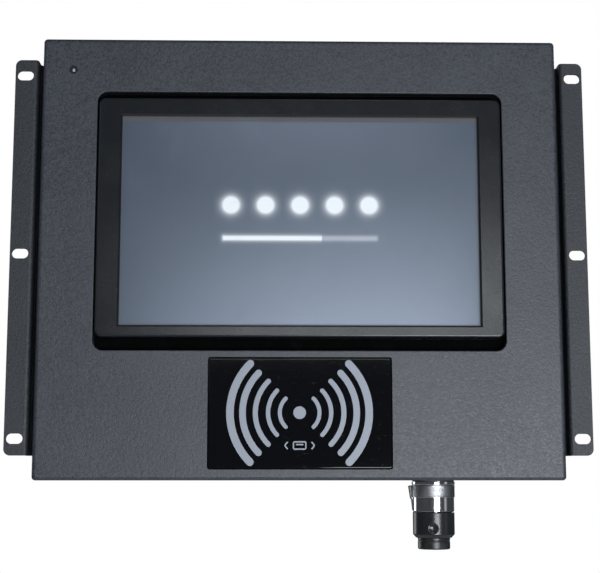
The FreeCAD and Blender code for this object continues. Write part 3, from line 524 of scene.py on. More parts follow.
@dataclass(frozen=True)
class StartScreen:
    """The lit panel while the terminal starts: a grey-blue ground, a row of glowing dots and a progress bar.

    The ground is a mix of four colours, by height and by width: the grey-blue is the screen's own picture,
    its brightening towards the bottom and the right is a painted reflection of the low key light, and its
    darkening to the left is painted shade. Each glow is e to the power of minus the distance from the shape's
    edge over a reach.
    """

    centre: Point
    width: float
    height: float
    # The ground's colours: the shift towards low at the bottom and right is a painted reflection, and the
    # last colour darkens the left as painted shade.
    shade: Colour = rgb(0.026, 0.042, 0.074)
    upper: Colour = rgb(0.085, 0.108, 0.155)
    low: Colour = rgb(0.200, 0.255, 0.350)
    painted_shade_left: Colour = rgb(0.012, 0.020, 0.040)
    glow: Colour = rgb(0.86, 0.93, 1.0)
    dots: int = 5
    pitch: float = 19.0 * MM
    radius: float = 4.3 * MM
    dot_rise: float = 9.5 * MM
    bar_rise: float = -9.0 * MM
    bar_half: tuple[float, float] = (42.0 * MM, 0.9 * MM)
    bar_filled_to: float = 12.0 * MM
    dot_glow: float = 1.3 * MM
    bar_glow: float = 0.7 * MM
    edge: tuple[float, float] = (-0.2 * MM, 1.2 * MM)
    edge_colour: Colour = rgb(0.055, 0.052, 0.050)

    def make(self, name: str) -> bpy.types.Material:
        """Builds the material.

        Args:
            name: The material's name.

        Returns:
            The material.
        """
        r = Recipe(name)
        x, _, z = r.axes(self.centre)
        up, across = (z / self.height + 0.5).held(), (x / self.width + 0.5).held()
        # Painted reflection of the low key light: the ground brightens towards the bottom and the right.
        painted_glare_across = (0.18 + 1.06 * (across * (1.0 - across) * 4.0).root() * (0.45 + 0.55 * across)).held()
        rise = (1.0 - up) ** 1.9
        lit = (rise * painted_glare_across + 0.10 * across * (1.0 - up)).held()
        ground = r.blend(up.ramp(0.62, 1.05) * (across * (1.0 - across) * 4.0).held(), self.shade, self.upper)
        ground = r.blend(lit, ground, self.low)
        ground = r.blend(0.10 * r.noise(30.0 * MM, 3.0), ground, self.low)
        # Painted shade: the ground darkens towards the left.
        ground = r.blend(0.42 * (1.0 - across) ** 3.0, ground, self.painted_shade_left)
        reach = self.pitch * (self.dots / 2)
        column = abs(x + reach).repeat(2 * self.pitch)
        aside = (column - self.pitch / 2).repeat(2 * self.pitch)
        row = z - self.dot_rise
        inside = abs(x) < reach
        dot = ((aside * aside + row * row).root() - self.radius).most(0.0)
        dot_light = dot.fade(self.dot_glow) * inside
        gap_x = (abs(x) - self.bar_half[0]).most(0.0)
        gap_z = (abs(z - self.bar_rise) - self.bar_half[1]).most(0.0)
        bar = (gap_x * gap_x + gap_z * gap_z).root()
        filled = 0.35 + 0.65 * (x < self.bar_filled_to)
        light = (dot_light + bar.fade(self.bar_glow) * filled).held()
        lines = r.noise(0.25 * MM, 1.0, r.place((0.05, 1.0, 1.0)))
        edge = (0.5 * self.width - abs(x)).least(0.5 * self.height - abs(z)).ramp(*self.edge)
        picture = r.blend(light, ground, self.glow)
        return r.finish({
            "Base Color": grey(0.012),
            "Roughness": 0.30 + 0.06 * lines,
            "Emission Color": r.blend(edge, self.edge_colour, picture),
            "Emission Strength": 1.0,
        })


@dataclass(frozen=True)
class Lamp:
    """A clear lens with a bright slit across its middle and a cool glow round it.

    The slit's half length and half width and the reach of its glow are shares of the radius.
    """

    centre: Point
    radius: float
    turn: float = 1.45
    slit: tuple[float, float] = (0.50, 0.24)
    reach: float = 0.22

    def make(self, name: str) -> bpy.types.Material:
        """Builds the material.

        Args:
            name: The material's name.

        Returns:
            The material.
        """
        r = Recipe(name)
        x, _, z = r.axes(self.centre)
        cos, sin = math.cos(self.turn), math.sin(self.turn)
        along, over = x * cos + z * sin, z * cos - x * sin
        past_end = (abs(along) - self.slit[0] * self.radius).most(0.0)
        past_side = (abs(over) - self.slit[1] * self.radius).most(0.0)
        light = (past_end * past_end + past_side * past_side).root().fade(self.reach * self.radius)
        grain = r.noise(0.3 * MM, 2.0)
        return r.finish({
            "Base Color": rgb(0.03, 0.035, 0.045),
            "Roughness": 0.10 + 0.10 * grain,
            "Emission Color": r.blend(light, rgb(0.006, 0.008, 0.011), rgb(0.33, 0.37, 0.44)),
            "Emission Strength": 1.0,
            "Coat Weight": 0.6,
            "Coat Roughness": 0.05,
        })


@dataclass(frozen=True)
class CircuitBoard:
    """Green solder resist over copper tracks, with tinned pads."""

    track: float = 1.15 * MM
    pad: float = 3.4 * MM
    bend: float = 11.0 * MM
    dark: Colour = rgb(0.006, 0.075, 0.030)
    pale: Colour = rgb(0.014, 0.150, 0.060)
    tin: Colour = rgb(0.70, 0.66, 0.52)

    def make(self, name: str) -> bpy.types.Material:
        """Builds the material.

        Args:
            name: The material's name.

        Returns:
            The material.
        """
        r = Recipe(name)
        bend = r.noise(self.bend, 0.0)
        x, _, z = r.axes()
        across = (x + z * (bend.ramp(0.48, 0.52) * 2.0 - 1.0)) / math.sqrt(2.0)
        lines = across.repeat(2 * self.track).ramp(0.30 * self.track, 0.42 * self.track)
        pads = 1.0 - r.cells(self.pad).ramp(0.16, 0.20)
        resist = r.blend(lines, self.dark, self.pale)
        return r.finish({
            "Base Color": r.blend(pads, resist, self.tin),
            "Metallic": pads * 0.9,
            "Roughness": 0.32 + 0.10 * bend,
            "Normal": r.bump(lines * 0.6 + pads * 0.4, 0.03 * MM, 0.6),
        })


@dataclass(frozen=True)
class Braid:
    """A braided sleeve: two crossed sets of strands, lighter on their crests and darker between them, which
    is painted light and shade.
    """

    colour: Colour = rgb(0.020, 0.020, 0.022)
    painted_crest_light: Colour = rgb(0.07, 0.07, 0.075)
    strand: float = 0.9 * MM

    def make(self, name: str) -> bpy.types.Material:
        """Builds the material.

        Args:
            name: The material's name.

        Returns:
            The material.
        """
        r = Recipe(name)
        x, y, z = r.axes()
        turn = math.tau / self.strand
        weave = ((x + z) * turn).sine() * ((y + x - z) * turn).sine()
        return r.finish({
            # Painted light and shade: lighter where the weave is high, darker in its hollows.
            "Base Color": r.blend((weave * 0.5 + 0.5).held(), self.colour, self.painted_crest_light),
            "Roughness": 0.55 + 0.1 * weave,
            "Normal": r.bump(weave * 0.5 + 0.5, 0.12 * MM, 0.8),
        })


# Surfaces
def rounded_outline(corners: list[tuple[float, float]], radii: list[float], steps: int = 6) -> np.ndarray:
    """A closed outline with its corners rounded by true arcs.

    Each corner P has unit directions a and b to its neighbours and half the angle h between them. Its arc has
    radius R about P + (a + b) / |a + b| * R / sin h and runs from P + a * R / tan h to P + b * R / tan h.

    Args:
        corners: The corner points in order.
        radii: Each corner's radius, where 0 keeps it sharp.
        steps: Points along each arc.

    Returns:
        An array of points, n by 2.
    """
    points = np.asarray(corners, dtype=float)
    pieces: list[np.ndarray] = []
    for here, before, after, radius in zip(points, np.roll(points, 1, 0), np.roll(points, -1, 0), radii):
        if radius <= 0.0:
            pieces.append(here[None])
            continue
        a, b = before - here, after - here
        a, b = a / np.linalg.norm(a), b / np.linalg.norm(b)
        half = math.acos(float(np.clip(a @ b, -1.0, 1.0))) / 2
        middle = here + (a + b) / np.linalg.norm(a + b) * radius / math.sin(half)
        start = here + a * radius / math.tan(half) - middle
        end = here + b * radius / math.tan(half) - middle
        share = np.linspace(0.0, 1.0, steps)[:, None]
        opening = math.acos(float(np.clip(start @ end / radius**2, -1.0, 1.0)))
        arc = (np.sin((1 - share) * opening) * start + np.sin(share * opening) * end) / math.sin(opening)
        pieces.append(middle + arc)
    return np.concatenate(pieces)


def rounded_box(half: float, low: float, high: float, radius: float, steps: int = 6) -> np.ndarray:
    """A rectangle from -half to half and from low to high, with its four corners rounded alike."""
    corners = [(-half, low), (half, low), (half, high), (-half, high)]
    return rounded_outline(corners, [radius] * 4, steps)


def squared_oval(sides: int, power: float) -> tuple[np.ndarray, np.ndarray]:
    """Points round a squared-off oval: |cos u|^p and |sin u|^p, each with its sign."""
    turn = np.linspace(0.0, math.tau, sides, endpoint=False)
    return tuple(np.sign(wave) * np.abs(wave) ** power for wave in (np.cos(turn), np.sin(turn)))


def spaced(outline: np.ndarray, step: float) -> np.ndarray:
    """The same closed outline with further points, no two more than a step apart.

    Args:
        outline: Points, n by 2.
        step: The longest spacing.

    Returns:
        An array of points, m by 2.
    """
    ring = np.concatenate([outline, outline[:1]])
    length = np.concatenate([[0.0], np.cumsum(np.linalg.norm(np.diff(ring, axis=0), axis=1))])
    marks = np.unique(np.concatenate([length, np.linspace(0.0, length[-1], int(length[-1] / step) + 1)]))[:-1]
    return np.stack([np.interp(marks, length, ring[:, k]) for k in (0, 1)], axis=1)


def mesh_from_grid(name: str, grid: np.ndarray, close_rows: bool = True,
                   sharp: float = 40.0) -> bpy.types.Object:
    """A closed skin over a grid of points, whose last column joins the first.

    Args:
        name: The piece's name.
        grid: Points, rows by columns by 3.
        close_rows: Whether the last row joins the first.
        sharp: Edges bent by more degrees than this stay sharp.

    Returns:
        The new object, at the origin.
    """
    rows, columns, _ = grid.shape
    index = np.arange(rows * columns).reshape(rows, columns)
    down, across = np.roll(index, -1, 0), np.roll(index, -1, 1)
    quads = np.stack([index, across, np.roll(down, -1, 1), down], axis=-1)
    quads = quads[: rows if close_rows else rows - 1].reshape(-1, 4)
    mesh = bpy.data.meshes.new(name)
    mesh.from_pydata(grid.reshape(-1, 3).tolist(), [], quads.tolist())
    work = bmesh.new()
    work.from_mesh(mesh)
    bmesh.ops.remove_doubles(work, verts=work.verts, dist=1e-7)
    bmesh.ops.dissolve_degenerate(work, dist=1e-8, edges=work.edges)
    bmesh.ops.recalc_face_normals(work, faces=work.faces)
    work.to_mesh(mesh)
    work.free()
    mesh.shade_smooth()
    mesh.set_sharp_from_angle(angle=math.radians(sharp))
    piece = bpy.data.objects.new(name, mesh)
    bpy.context.collection.objects.link(piece)
    return piece


def turned(outline: np.ndarray, centre: Point, columns: int) -> tuple[np.ndarray, np.ndarray, np.ndarray]:
    """Radius, angle and height of each grid point of a closed outline turned about a vertical axis.

    Args:
        outline: Points of radius and height, n by 2.
        centre: A point on the axis, which heights are counted from.
        columns: How many angles there are.

    Returns:
        Three arrays, rows by columns.
    """
    angle = np.linspace(0.0, math.tau, columns, endpoint=False)
    radius, turn = np.meshgrid(outline[:, 0], angle, indexing="ij")
    height = np.broadcast_to(outline[:, 1][:, None] + centre[2], radius.shape)
    return radius, turn, height


def around_z(radius: np.ndarray, angle: np.ndarray, height: np.ndarray, centre: Point) -> np.ndarray:
    """Points at x = cx + r cos a, y = cy + r sin a, z = h."""
    return np.stack([centre[0] + radius * np.cos(angle), centre[1] + radius * np.sin(angle), height], axis=-1)


def around_y(radius: np.ndarray, depth: np.ndarray, centre: Point, columns: int) -> np.ndarray:
    """An outline turned about an axis along Y: x = cx + r cos a, y as given, z = cz + r sin a.

    Args:
        radius: Each outline point's distance from the axis.
        depth: Each outline point's y.
        centre: A point on the axis.
        columns: How many angles there are.

    Returns:
        Points, rows by columns by 3.
    """
    turn = np.linspace(0.0, math.tau, columns, endpoint=False)
    wide, deep = radius[:, None], np.repeat(depth[:, None], columns, 1)
    return np.stack([centre[0] + wide * np.cos(turn), deep, centre[2] + wide * np.sin(turn)], axis=-1)


def smooth_step(low: float, high: float, x: np.ndarray) -> np.ndarray:
    """3 t^2 - 2 t^3, with t running from 0 at low to 1 at high."""
    t = np.clip((x - low) / (high - low), 0.0, 1.0)
    return t * t * (3.0 - 2.0 * t)


def print_stroke(name: str, line: np.ndarray, width: float, front: float, film: float,
                 closed: bool = False) -> bpy.types.Object:
    """A thin printed stroke that follows a line on a face across Y.

    The section at each point is a squared-off oval, w to each side and f in depth. Open strokes end round,
    because w is the stroke's half width times sqrt(1 - t^2) over the last half width.

    Args:
        name: The piece's name.
        line: Points of x and z along the middle of the stroke, n by 2, ends included.
        width: The stroke's width.
        front: The y of the stroke's front.
        film: How thick the print is.
        closed: Whether the line returns to its start.

    Returns:
        The new object.
    """
    ahead = np.roll(line, -1, 0) - np.roll(line, 1, 0)
    if not closed:
        ahead[0], ahead[-1] = line[1] - line[0], line[-1] - line[-2]
    ahead /= np.linalg.norm(ahead, axis=1)[:, None]
    half = np.full(len(line), width / 2)
    if not closed:
        run = np.concatenate([[0.0], np.cumsum(np.linalg.norm(np.diff(line, axis=0), axis=1))])
        near = np.clip(1.0 - np.minimum(run, run[-1] - run) / (width / 2), 0.0, 1.0)
        half = half * np.sqrt(np.clip(1.0 - near**2, 0.0, 1.0))
    side, deep = squared_oval(20, SQUARE)
    thin = np.minimum(1.0, half / (0.08 * width))
    x = line[:, :1] + ahead[:, 1:] * half[:, None] * side
    z = line[:, 1:] - ahead[:, :1] * half[:, None] * side
    y = front + film / 2 + deep * thin[:, None] * film / 2
    return mesh_from_grid(name, np.stack([x, y, z], axis=-1), close_rows=closed, sharp=60.0)


def eased(count: int, ends: int, tip: float) -> np.ndarray:
    """Shares from 0 to 1 that crowd towards both ends: tip * (1 - cos u) at the start, and its mirror.

    Args:
        count: Shares between the tips.
        ends: Shares in each tip.
        tip: How much of the whole each tip takes.

    Returns:
        The shares.
    """
    middle = np.linspace(tip, 1.0 - tip, count)
    quarter = np.linspace(0.0, math.pi / 2, ends, endpoint=False)
    start = tip * (1.0 - np.cos(quarter))
    return np.concatenate([start, middle, 1.0 - start[::-1]])


# Sub-assemblies
def dress(material: bpy.types.Material, *nodes: str) -> None:
    """Gives carried-over nodes a material.

    Args:
        material: The material.
        nodes: The nodes' names.
    """
    for name in nodes:
        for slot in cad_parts[name].material_slots:
            slot.material = material
        LOG.info("dressed %s in %s", name, material.name)


def place_piece(piece: bpy.types.Object, material: bpy.types.Material, body: Body) -> None:
    """Finishes a new piece.

    Args:
        piece: The piece.
        material: Its material.
        body: The body that it rides on.
    """
    piece.data.materials.append(material)
    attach(piece, body.value)
    LOG.info("made %s with %d faces", piece.name, len(piece.data.polygons))


def middle_of(node: str) -> Point:
    """The middle of a node's box."""
    low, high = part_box(node)
    return tuple((a + b) / 2 for a, b in zip(low, high))


@dataclass
class Case:
    """The folded case, its back, its wings and their fasteners."""

    coat: PowderCoat = PowderCoat()
    # The wings' coat is a darker copy of the case's coat: painted shade for the set-back wings.
    shaded_wing_coat: PowderCoat = PowderCoat(
        rgb(0.004, 0.005, 0.007), rgb(0.026, 0.030, 0.040), depth=0.34 * MM, sheen=0.59)
    black_steel: Plated = Plated(
        rgb(0.055, 0.057, 0.062), 0.34, 0.3 * MM, 0.004 * MM, (1.0, 1.0, 1.0), rgb(0.16, 0.15, 0.14))
    zinc: Plated = Plated(
        rgb(0.62, 0.63, 0.64), 0.30, 0.35 * MM, 0.004 * MM, (0.2, 1.0, 1.0), rgb(0.46, 0.47, 0.45))

    def build(self) -> None:
        """Dresses the case."""
        dress(self.coat.make("powder_coat"), "front_cover", "rear_cover")
        dress(self.shaded_wing_coat.make("wing_coat_painted_shade"), "left_wing", "right_wing")
        dress(self.black_steel.make("black_steel"), "left_wing_screws", "right_wing_screws", "cover_screws")
        dress(self.zinc.make("zinc_steel"), "wing_nuts", "cover_nuts", "chassis_plate", "chassis_posts",
              "chassis_nuts", "board_standoffs", "board_screws", "reader_standoffs", "reader_screws",
              "socket_nut")


@dataclass
class Display:
    """The framed screen."""

    frame_plastic: Moulded = Moulded(
        rgb(0.0065, 0.0078, 0.0100), roughness=0.24, worn=rgb(0.028, 0.032, 0.038), gloss=0.41)
    tray: Plated = Plated(rgb(0.66, 0.67, 0.68), 0.35)
    foam: Rubber = Rubber(
        rgb(0.004, 0.0042, 0.0048), rgb(0.012, 0.012, 0.013), 0.6 * MM, 0.06 * MM, 0.85, 0.15)
    # Near-black: painted shade for the deep gap round the bezel.
    shade_seal_black: Rubber = Rubber(
        rgb(0.0010, 0.0011, 0.0013), rgb(0.003, 0.0032, 0.0035), roughness=0.9, gloss=0.04)
    active: tuple[float, float] = (196.6 * MM, 114.2 * MM)
    flange_side: float = 6.0 * MM
    flange_bottom: float = 1.6 * MM
    flange_thickness: float = 2.0 * MM
    gap_side: float = 1.25 * MM
    gap_top: float = 4.2 * MM
    gap_bottom: float = 7.0 * MM
    frame_corner: float = 3.6 * MM
    window_corner: float = 5.5 * MM
    seal_thickness: float = 0.3 * MM
    seal_room: float = 0.04 * MM

    def build(self) -> None:
        """Dresses the bezel, the glass and the lit panel, and fills the gap round the bezel with a near-black
        seal that paints its shade.
        """
        dress(self.frame_plastic.make("bezel_plastic"), "display_bezel")
        dress(CoverGlass().make("screen_glass"), "touch_glass")
        dress(StartScreen(middle_of("lcd_cell"), *self.active).make("start_screen"), "lcd_cell")
        dress(self.tray.make("tray_metal"), "lcd_backlight")
        dress(self.foam.make("foam"), "display_gasket", "display_pads")
        self.make_shade_seal()

    def make_shade_seal(self) -> None:
        """A thin near-black frame that closes the gap between the bezel and the window of the cover: painted
        shade for the deep gap.

        Its section at each point of the outline is a squared-off oval, with half the gap to each side and
        half the thickness in depth.
        """
        low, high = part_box("display_bezel")
        middle, half_w = (low[0] + high[0]) / 2, (high[0] - low[0]) / 2 - self.flange_side
        bottom, top = low[2] + self.flange_bottom, high[2] - self.flange_side
        back, room = high[1] - self.flange_thickness - self.seal_room, self.seal_room
        inner = rounded_box(half_w - self.gap_side + room, bottom + self.gap_bottom - room,
                            top - self.gap_top + room, self.frame_corner, 12)
        outer = rounded_box(half_w, bottom, top, self.window_corner, 12)
        side, deep = squared_oval(24, SQUARE)
        flat = (inner + outer) / 2 + side[:, None, None] * (outer - inner) / 2
        depth = np.repeat((back - self.seal_thickness / 2 * (1.0 - deep))[:, None], flat.shape[1], 1)
        grid = np.stack([middle + flat[:, :, 0], depth, flat[:, :, 1]], axis=-1)
        seal = mesh_from_grid("display_gap_shade_seal", grid, sharp=60.0)
        place_piece(seal, self.shade_seal_black.make("shade_seal_black"), Body.TERMINAL)


@dataclass
class CardReader:
    """The dark card window with its printed waves, and the reader behind it."""

    film: float = 0.03 * MM
    edge: float = 0.8 * MM
    corner: float = 1.2 * MM
    least_corner: float = 0.2 * MM
    rim_side: float = 4.0 * MM
    rim_top: float = 1.5 * MM
    rim_bottom: float = 3.5 * MM
    rim_thickness: float = 1.8 * MM
    dot_radius: float = 3.4 * MM
    arc_radii: tuple[float, ...] = (10.65 * MM, 16.95 * MM, 23.8 * MM, 30.7 * MM, 37.4 * MM)
    arc_widths: tuple[float, ...] = (2.15 * MM, 2.35 * MM, 2.75 * MM, 3.55 * MM, 4.1 * MM)
    arc_spans: tuple[float, ...] = (45.6, 44.1, 45.1, 44.0, 44.7)
    symbol_rise: float = 0.15 * MM
    symbol_aside: float = 0.25 * MM
    sign_drop: float = 17.5 * MM
    sign_size: tuple[float, float] = (16.4 * MM, 4.6 * MM)
    sign_stroke: float = 0.75 * MM
    card_width: float = 7.4 * MM
    card_corner: float = 0.7 * MM
    stripe_share: float = 0.62
    stripe_rise: float = 0.5 * MM
    chevron_inset: float = 0.4 * MM
    chevron_depth: float = 1.5 * MM

    def build(self) -> None:
        """Makes the window, prints the waves on it and dresses the rest."""
        self.make_window(Gloss().make("black_acrylic"))
        dress(CircuitBoard().make("circuit_board"), "reader_board", "main_board", "indicator_board")
        black = Moulded(rgb(0.012, 0.012, 0.013), roughness=0.5).make("board_black")
        dress(black, "reader_parts", "board_parts", "power_converter")
        dress(Plated(rgb(0.80, 0.42, 0.26), 0.28).make("copper"), "antenna_coil")
        dress(Rubber(rgb(0.03, 0.027, 0.026), rgb(0.06, 0.055, 0.05)).make("ferrite"), "ferrite_sheet")
        dress(Rubber(rgb(0.55, 0.55, 0.52), rgb(0.7, 0.7, 0.67)).make("tape"), "window_tape")
        ink = Ink().make("symbol_ink")
        low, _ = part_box("card_window")
        x, _, z = middle_of("card_window")
        x, z = x - self.symbol_aside, z + (self.rim_bottom - self.rim_top) / 2 + self.symbol_rise
        front = low[1] - self.film
        self.print_dot(ink, (x, front, z))
        self.print_waves(ink, (x, front, z))
        self.print_sign(ink, (x, front, z - self.sign_drop))

    def make_window(self, gloss: bpy.types.Material) -> None:
        """The window: rounded rectangles at growing depths, from the middle of its face to that of its back.

        The edge of the face is a quarter round: the outline shrinks by r (1 - sin u) at a depth of
        r (1 - cos u). Behind the sheet the outline steps out to the rim that is taped to the cover.

        Args:
            gloss: Its material.
        """
        low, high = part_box("card_window")
        x, front, back = (low[0] + high[0]) / 2, low[1], high[1]
        rim = ((high[0] - low[0]) / 2, (high[2] - low[2]) / 2, (low[2] + high[2]) / 2)
        face = (rim[0] - self.rim_side, rim[1] - (self.rim_bottom + self.rim_top) / 2,
                (low[2] + self.rim_bottom + high[2] - self.rim_top) / 2)
        rows = [(face, face[0], front), (face, self.edge * 1.125, front)]
        for u in np.linspace(0.0, math.pi / 2, 9):
            rows.append((face, self.edge * (1.0 - math.sin(u)), front + self.edge * (1.0 - math.cos(u))))
        rim_front = back - self.rim_thickness
        rows += [(face, 0.0, rim_front), (rim, 0.0, rim_front), (rim, 0.0, back), (rim, rim[0], back)]
        steps, loops = 12, []
        for (wide, tall, middle), shrink, depth in rows:
            w, h = max(wide - shrink, 0.0), max(tall - shrink, 0.0)
            edge = np.zeros((4 * steps, 2))
            if min(w, h) > 0.0:
                edge = rounded_box(w, -h, h, max(self.corner - shrink, self.least_corner), steps)
            loops.append(np.stack([x + edge[:, 0], np.full(4 * steps, depth), middle + edge[:, 1]], axis=1))
        window = mesh_from_grid("card_window_pane", np.stack(loops), close_rows=False, sharp=30.0)
        place_piece(window, gloss, Body.TERMINAL)
        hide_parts("card_window")

    def print_dot(self, ink: bpy.types.Material, centre: Point) -> None:
        """The middle dot: a disc turned about Y, with r = R |cos u|^0.3 and y = f / 2 (1 + |sin u|^0.3).

        Args:
            ink: Its material.
            centre: The middle of its front.
        """
        u = np.linspace(-math.pi / 2, math.pi / 2, 15)
        radius = self.dot_radius * np.cos(u) ** SQUARE
        radius[[0, -1]] = 0.0
        deep = centre[1] + self.film / 2 * (1.0 + np.sign(np.sin(u)) * np.abs(np.sin(u)) ** SQUARE)
        dot = mesh_from_grid("symbol_dot", around_y(radius, deep, centre, 64), close_rows=False, sharp=60.0)
        place_piece(dot, ink, Body.TERMINAL)

    def print_waves(self, ink: bpy.types.Material, centre: Point) -> None:
        """Waves on both sides of the dot: arcs x = R cos a, z = R sin a about it.

        Args:
            ink: Their material.
            centre: The middle of the dot's front.
        """
        for side, word in ((-1, "left"), (1, "right")):
            for k, (radius, width, span) in enumerate(zip(self.arc_radii, self.arc_widths, self.arc_spans)):
                reach = math.radians(span) + width / 2 / radius
                tip = width / 2 / (2 * reach * radius)
                angle = (2.0 * eased(40, 8, tip) - 1.0) * reach
                line = np.stack([centre[0] + side * radius * np.cos(angle),
                                 centre[2] + radius * np.sin(angle)], axis=1)
                piece = print_stroke(f"symbol_wave_{word}_{k + 1}", line, width, centre[1], self.film)
                place_piece(piece, ink, Body.TERMINAL)

    def print_sign(self, ink: bpy.types.Material, centre: Point) -> None:
        """A small plain sign below the dot: a card with a stripe in it, and a chevron on each side.

        Each chevron's depth falls off as |2 t - 1|^1.4 from its middle, with t running up it from 0 to 1.

        Args:
            ink: Its material.
            centre: The middle of its front.
        """
        x, front, z = centre
        style = (self.sign_stroke, front, self.film)
        w, h = (self.card_width - self.sign_stroke) / 2, (self.sign_size[1] - self.sign_stroke) / 2
        card = spaced(rounded_box(w, -h, h, self.card_corner), 0.4 * MM) + np.array([x, z])
        pieces = [print_stroke("sign_card", card, *style, closed=True)]
        share = eased(12, 6, 0.08)
        stripe_x = x + (2.0 * share - 1.0) * self.stripe_share * w
        stripe = np.stack([stripe_x, np.full(len(share), z + self.stripe_rise)], axis=1)
        pieces.append(print_stroke("sign_stripe", stripe, *style))
        for side, word in ((-1, "left"), (1, "right")):
            tip = x + side * (self.sign_size[0] / 2 - self.chevron_inset)
            bend = np.stack([tip - side * self.chevron_depth * np.abs(2 * share - 1) ** 1.4,
                             z + (2.0 * share - 1.0) * h], axis=1)
            pieces.append(print_stroke(f"sign_chevron_{word}", bend, *style))
        for piece in pieces:
            place_piece(piece, ink, Body.TERMINAL)


@dataclass
class Indicator:
    """The small status lamp in the corner of the case."""

    radius: float = 1.15 * MM
    flange: float = 3.0 * MM
    flange_thickness: float = 1.0 * MM
    flange_behind: float = 1.0 * MM
    dome: float = 0.45 * MM
    collar_inner: float = 1.25 * MM
    collar_outer: float = 2.35 * MM
    collar_proud: float = 0.18 * MM

    def build(self) -> None:
        """Makes the lens and the dark collar round it, which is painted shade, and dresses the pillars of its
        board.
        """
        self.make_lens()
        self.make_shade_collar()
        dress(Moulded(rgb(0.5, 0.5, 0.48)).make("white_plastic"), "indicator_pillars")

    def make_shade_collar(self) -> None:
        """A thin dark collar on the cover, which paints the shade in the lamp's hole: a squared-off oval
        section turned about Y.

        The section's half widths are (b - a) / 2 about a radius of (a + b) / 2, and h / 2 in depth.
        """
        centre = middle_of("indicator_light_pipe")
        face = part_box("front_cover")[0][1]
        wide, deep = squared_oval(24, 0.6)
        middle = (self.collar_outer + self.collar_inner) / 2
        half = (self.collar_outer - self.collar_inner) / 2
        depth = face - self.collar_proud / 2 * (1.0 + deep)
        collar = mesh_from_grid("indicator_shade_collar", around_y(middle + half * wide, depth, centre, 64))
        # A dark ring standing for the shade in the lamp's hole: painted shade.
        rubber = Rubber(rgb(0.008, 0.009, 0.011), rgb(0.016, 0.017, 0.020), 0.3 * MM, gloss=0.3)
        place_piece(collar, rubber.make("shade_collar_black"), Body.TERMINAL)

    def make_lens(self) -> None:
        """A domed lens with its flange, turned about Y: the outline (r, y) swept through a full turn."""
        low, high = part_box("indicator_light_pipe")
        x, _, z = middle_of("indicator_light_pipe")
        front, back = low[1], high[1]
        u = np.linspace(0.0, math.pi / 2, 12)
        nose = np.stack([self.radius * np.sin(u), front + self.dome * (1.0 - np.cos(u))], axis=1)
        near, bevel = front + self.flange_behind, 0.15 * MM
        far = near + self.flange_thickness
        rest = np.array([[self.radius, near], [self.flange - bevel, near], [self.flange, near + bevel],
                         [self.flange, far], [self.radius, far], [self.radius, back], [0.0, back]])
        radius, depth = np.concatenate([nose, rest]).T
        lens = mesh_from_grid("indicator_lens", around_y(radius, depth, (x, front, z), 48), close_rows=False)
        place_piece(lens, Lamp((x, front, z), self.radius).make("lamp_lens"), Body.TERMINAL)
        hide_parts("indicator_light_pipe")


